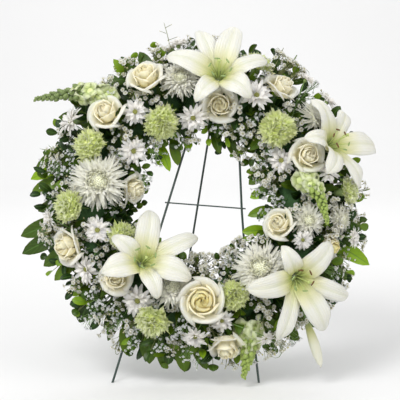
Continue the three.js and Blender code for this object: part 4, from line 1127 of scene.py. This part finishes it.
def foam_root(point):
    """The place on the foam's surface that lies nearest under a point."""
    a = atan2(point[1], point[0])
    r = min(max(hypot(point[0], point[1]), FOAM_INNER + 14), FOAM_OUTER - 14)
    return np.array([r * cos(a), r * sin(a), FOAM_FRONT - 4])


def build_sprigs(name, crowns, kind, heads, slot):
    """Sprigs of tiny flowers at the crowns given as u and v, in one piece for each part of the ring."""
    bunches = [Bunch() for _ in range(SPRIG_GROUPS)]
    for u, v in crowns:
        r = hypot(u, v)
        height = rng.uniform(64, 82) - 0.0042 * (r - RING_RADIUS) ** 2
        bunch = bunches[int((degrees(atan2(v, u)) % 360) / 360 * SPRIG_GROUPS)]
        sprig(bunch, foam_root((u, v)), in_reach((u, v, height)), SPRIG_SPREAD, heads, kind)
    for i, bunch in enumerate(bunches):
        if bunch.count:
            bunch.piece(f"{name}_{i + 1}", slot)


def build_filler_leaves():
    """Leaves that hide the foam between the blooms and round both its edges."""
    for group in range(FILLER_GROUPS):
        bunch = Bunch()
        for _ in range(FILLER_LEAVES):
            around = (group + rng.random()) * 360 / FILLER_GROUPS
            tilt = rng.uniform(-86, 96)
            t = radians(tilt)
            reach = min((FOAM_FRONT - CORE_HEIGHT) / max(cos(t), 1e-3),
                        (FOAM_OUTER - RING_RADIUS) / max(abs(sin(t)), 1e-3))
            start = seat_point(around, tilt, max(reach - 4, 10))
            lean = radians(tilt + rng.uniform(-35, 35))
            a = radians(around + rng.uniform(-25, 25))
            direction = np.array([cos(a) * sin(lean), sin(a) * sin(lean), cos(lean)])
            length = rng.uniform(26, 44) if tilt > -40 else rng.uniform(18, 30)
            tip = in_reach(start + direction * length)
            up = unit(np.cross(np.cross(direction, [0, 0, 1.0]), direction) + rng.normal(0, 0.3, 3))
            tone = rng.choice([0.0, 0.1, 0.2, 0.45], p=[0.4, 0.3, 0.2, 0.1])
            middle = (start + tip) / 2 + up * 0.12 * length
            path = curve([start, middle, tip], 7)
            bunch.add(blade(path, rng.uniform(7, 11), up, fold=0.2, wave=0.04, blunt=0.65), LEAF, tone)
        bunch.piece(f"filler_leaves_{group + 1}", "leaf")


def leafy_twig(bunch, root, tip, leaves, length, half_width, tones):
    """A short twig from the side of the foam with small leaves along it."""
    root, tip = np.asarray(root, float), in_reach(tip)
    middle = (root + tip) / 2 + [0, 0, 5]
    line = curve([root, middle, tip], 8)
    bunch.add(tube(line, np.linspace(1.1, 0.5, 8), 4), WOODY, 0.5)
    along = unit(tip - root)
    across = unit(np.cross([0, 0, 1], along))
    for i in range(leaves):
        t = 0.12 + 0.88 * i / max(leaves - 1, 1)
        base = line[min(int(t * 7), 7)]
        side = 0 if i == leaves - 1 else (1 if i % 2 else -1)
        direction = unit(along + across * side * rng.uniform(0.7, 1.3) + [0, 0, rng.uniform(-0.3, 0.6)])
        end = in_reach(base + direction * length * rng.uniform(0.8, 1.15))
        leaf(bunch, base, end, half_width * rng.uniform(0.8, 1.15), rng.choice(tones), 0.12,
             unit(rng.normal(0, 0.35, 3) + [0, 0, 1]), 8, 5)


def build_stray_twig():
    """The bare twig that stands up over the top of the wreath."""
    bunch = Bunch()
    tip = np.array([-63, 316, 20])
    line = through([[-48, 208, 28], [-50, 250, 30], [-55, 285, 26], tip], 12)
    bunch.add(tube(line, np.linspace(1.2, 0.4, 12), 5), WOODY, 0.5)
    for t, end in ((0.5, (-40, 288, 30)), (0.7, (-70, 300, 24)), (0.85, (-50, 312, 22))):
        start = np.array([-50, 250, 30]) * (1 - t) + tip * t
        bunch.add(tube(curve([start, end], 3), [0.6, 0.5, 0.35], 4), WOODY, 0.5)
        bunch.add(SMALL_BUD, WAX_BUD, 0.5, facing(end, end - start, 0, 1.6))
    bunch.piece("stray_twig", "leaf")


def build_edge_greenery():
    """Leafy twigs round the outside of the wreath and, smaller, round the hole."""
    bunches = [Bunch() for _ in range(TWIG_GROUPS)]
    for i in range(OUTER_TWIGS):
        a = 360 * (i + rng.uniform(-0.4, 0.4)) / OUTER_TWIGS
        root = ring_point(a, FOAM_OUTER - 4, rng.uniform(8, 38))
        tip = ring_point(a + rng.uniform(-5, 5), rng.uniform(248, 284), rng.uniform(-4, 46))
        leafy_twig(bunches[int(a % 360 / 360 * TWIG_GROUPS)], root, tip, 6,
                   rng.uniform(22, 32), rng.uniform(6, 9), OUTER_TONES)
    for i in range(INNER_TWIGS):
        a = 360 * (i + rng.uniform(-0.4, 0.4)) / INNER_TWIGS
        root = ring_point(a, FOAM_INNER + 4, rng.uniform(12, 40))
        tip = ring_point(a + rng.uniform(-6, 6), rng.uniform(98, 112), rng.uniform(14, 50))
        leafy_twig(bunches[int(a % 360 / 360 * TWIG_GROUPS)], root, tip, 5, 18, 5.5,
                   INNER_TONES)
    for i, bunch in enumerate(bunches):
        bunch.piece(f"edge_greenery_{i + 1}", "leaf")


def paint_frame():
    looks = {"foam_ring": FOAM, "tray": TRAY, "tie_left": TIE, "tie_right": TIE, "front_left_leg": WIRE,
             "front_right_leg": WIRE, "back_leg": WIRE, "crossbar": WIRE}
    for node, material in looks.items():
        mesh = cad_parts[node].data
        mesh.materials.clear()
        mesh.materials.append(material)


# Camera, floor and light

CAMERA_AWAY = 2.4
CAMERA_RISE = radians(8)
CAMERA_WIDTH = 0.680
TARGET = CENTRE + np.array([0, -0.04775, 0.01293])


def add_camera():
    data = bpy.data.cameras.new("camera")
    data.angle = 2 * atan2(CAMERA_WIDTH / 2, CAMERA_AWAY)
    camera = bpy.data.objects.new("camera", data)
    camera.location = TARGET + CAMERA_AWAY * np.array([0, -cos(CAMERA_RISE), sin(CAMERA_RISE)])
    direction = Vector(TARGET) - camera.location
    camera.rotation_euler = direction.to_track_quat("-Z", "Y").to_euler()
    bpy.context.scene.collection.objects.link(camera)
    bpy.context.scene.camera = camera


def add_floor():
    """A pale floor that curves up into a wall behind the object."""
    half, front, bend, height, steps = 5.0, -3.5, 2.2, 4.0, 16
    radius = 1.6
    line = [(front, 0.0), (bend, 0.0)]
    line += [(bend + radius * sin(a), radius * (1 - cos(a))) for a in np.linspace(0, pi / 2, steps)[1:]]
    line.append((bend + radius, height))
    points = [(x, y, z) for y, z in line for x in (-half, half)]
    faces = [(2 * i, 2 * i + 1, 2 * i + 3, 2 * i + 2) for i in range(len(line) - 1)]
    mesh = bpy.data.meshes.new("floor")
    mesh.from_pydata(points, [], faces)
    mesh.materials.append(plain_look("pale floor", (0.80, 0.80, 0.80), (0.815, 0.815, 0.815), 3.0, 0.9,
                                     strength=0.02))
    for polygon in mesh.polygons:
        polygon.use_smooth = True
    floor = bpy.data.objects.new("floor", mesh)
    bpy.context.scene.collection.objects.link(floor)


LIGHTS = [  # name, place, size, power and what it points at, in metres and watts
    ("key", (-1.0, -1.9, 2.2), 1.3, 48, TARGET), ("fill", (1.7, -1.6, 1.1), 1.4, 9, TARGET),
    ("back", (0.5, 1.5, 2.2), 1.4, 8, TARGET), ("wall", (0.0, 1.2, 2.4), 1.6, 24, (0, 4.0, 0.9)),
]
WORLD_STRENGTH = 0.74


def add_light(name, place, size, power, target):
    data = bpy.data.lights.new(name, "AREA")
    data.shape = "DISK"
    data.size = size
    data.energy = power
    light = bpy.data.objects.new(name, data)
    light.location = place
    light.rotation_euler = (Vector(target) - Vector(place)).to_track_quat("-Z", "Y").to_euler()
    bpy.context.scene.collection.objects.link(light)


def add_lights():
    world = bpy.data.worlds.new("studio")
    world.use_nodes = True
    background = world.node_tree.nodes["Background"]
    background.inputs["Color"].default_value = (1, 1, 1, 1)
    background.inputs["Strength"].default_value = WORLD_STRENGTH
    bpy.context.scene.world = world
    for name, place, size, power, target in LIGHTS:
        add_light(name, place, size, power, target)


bpy.context.scene.view_settings.view_transform = "Standard"
add_camera()
add_floor()
add_lights()
paint_frame()
build_blooms()
build_sprays()
build_lilies()
build_snapdragons()
build_waxflower()
for arc, parts in LEAF_ARCS.items():
    leaf_arc(arc, *parts)
build_filler_leaves()
build_edge_greenery()
build_stray_twig()
build_sprigs("waxflower_sprigs", WAX_CROWNS + gap_crowns(WAX_GAPS), "wax", WAX_HEADS, "waxflower")
build_sprigs("breath_sprigs", BREATH_CROWNS + gap_crowns(BREATH_GAPS), "gyp", BREATH_HEADS,
             "daisy_petal")
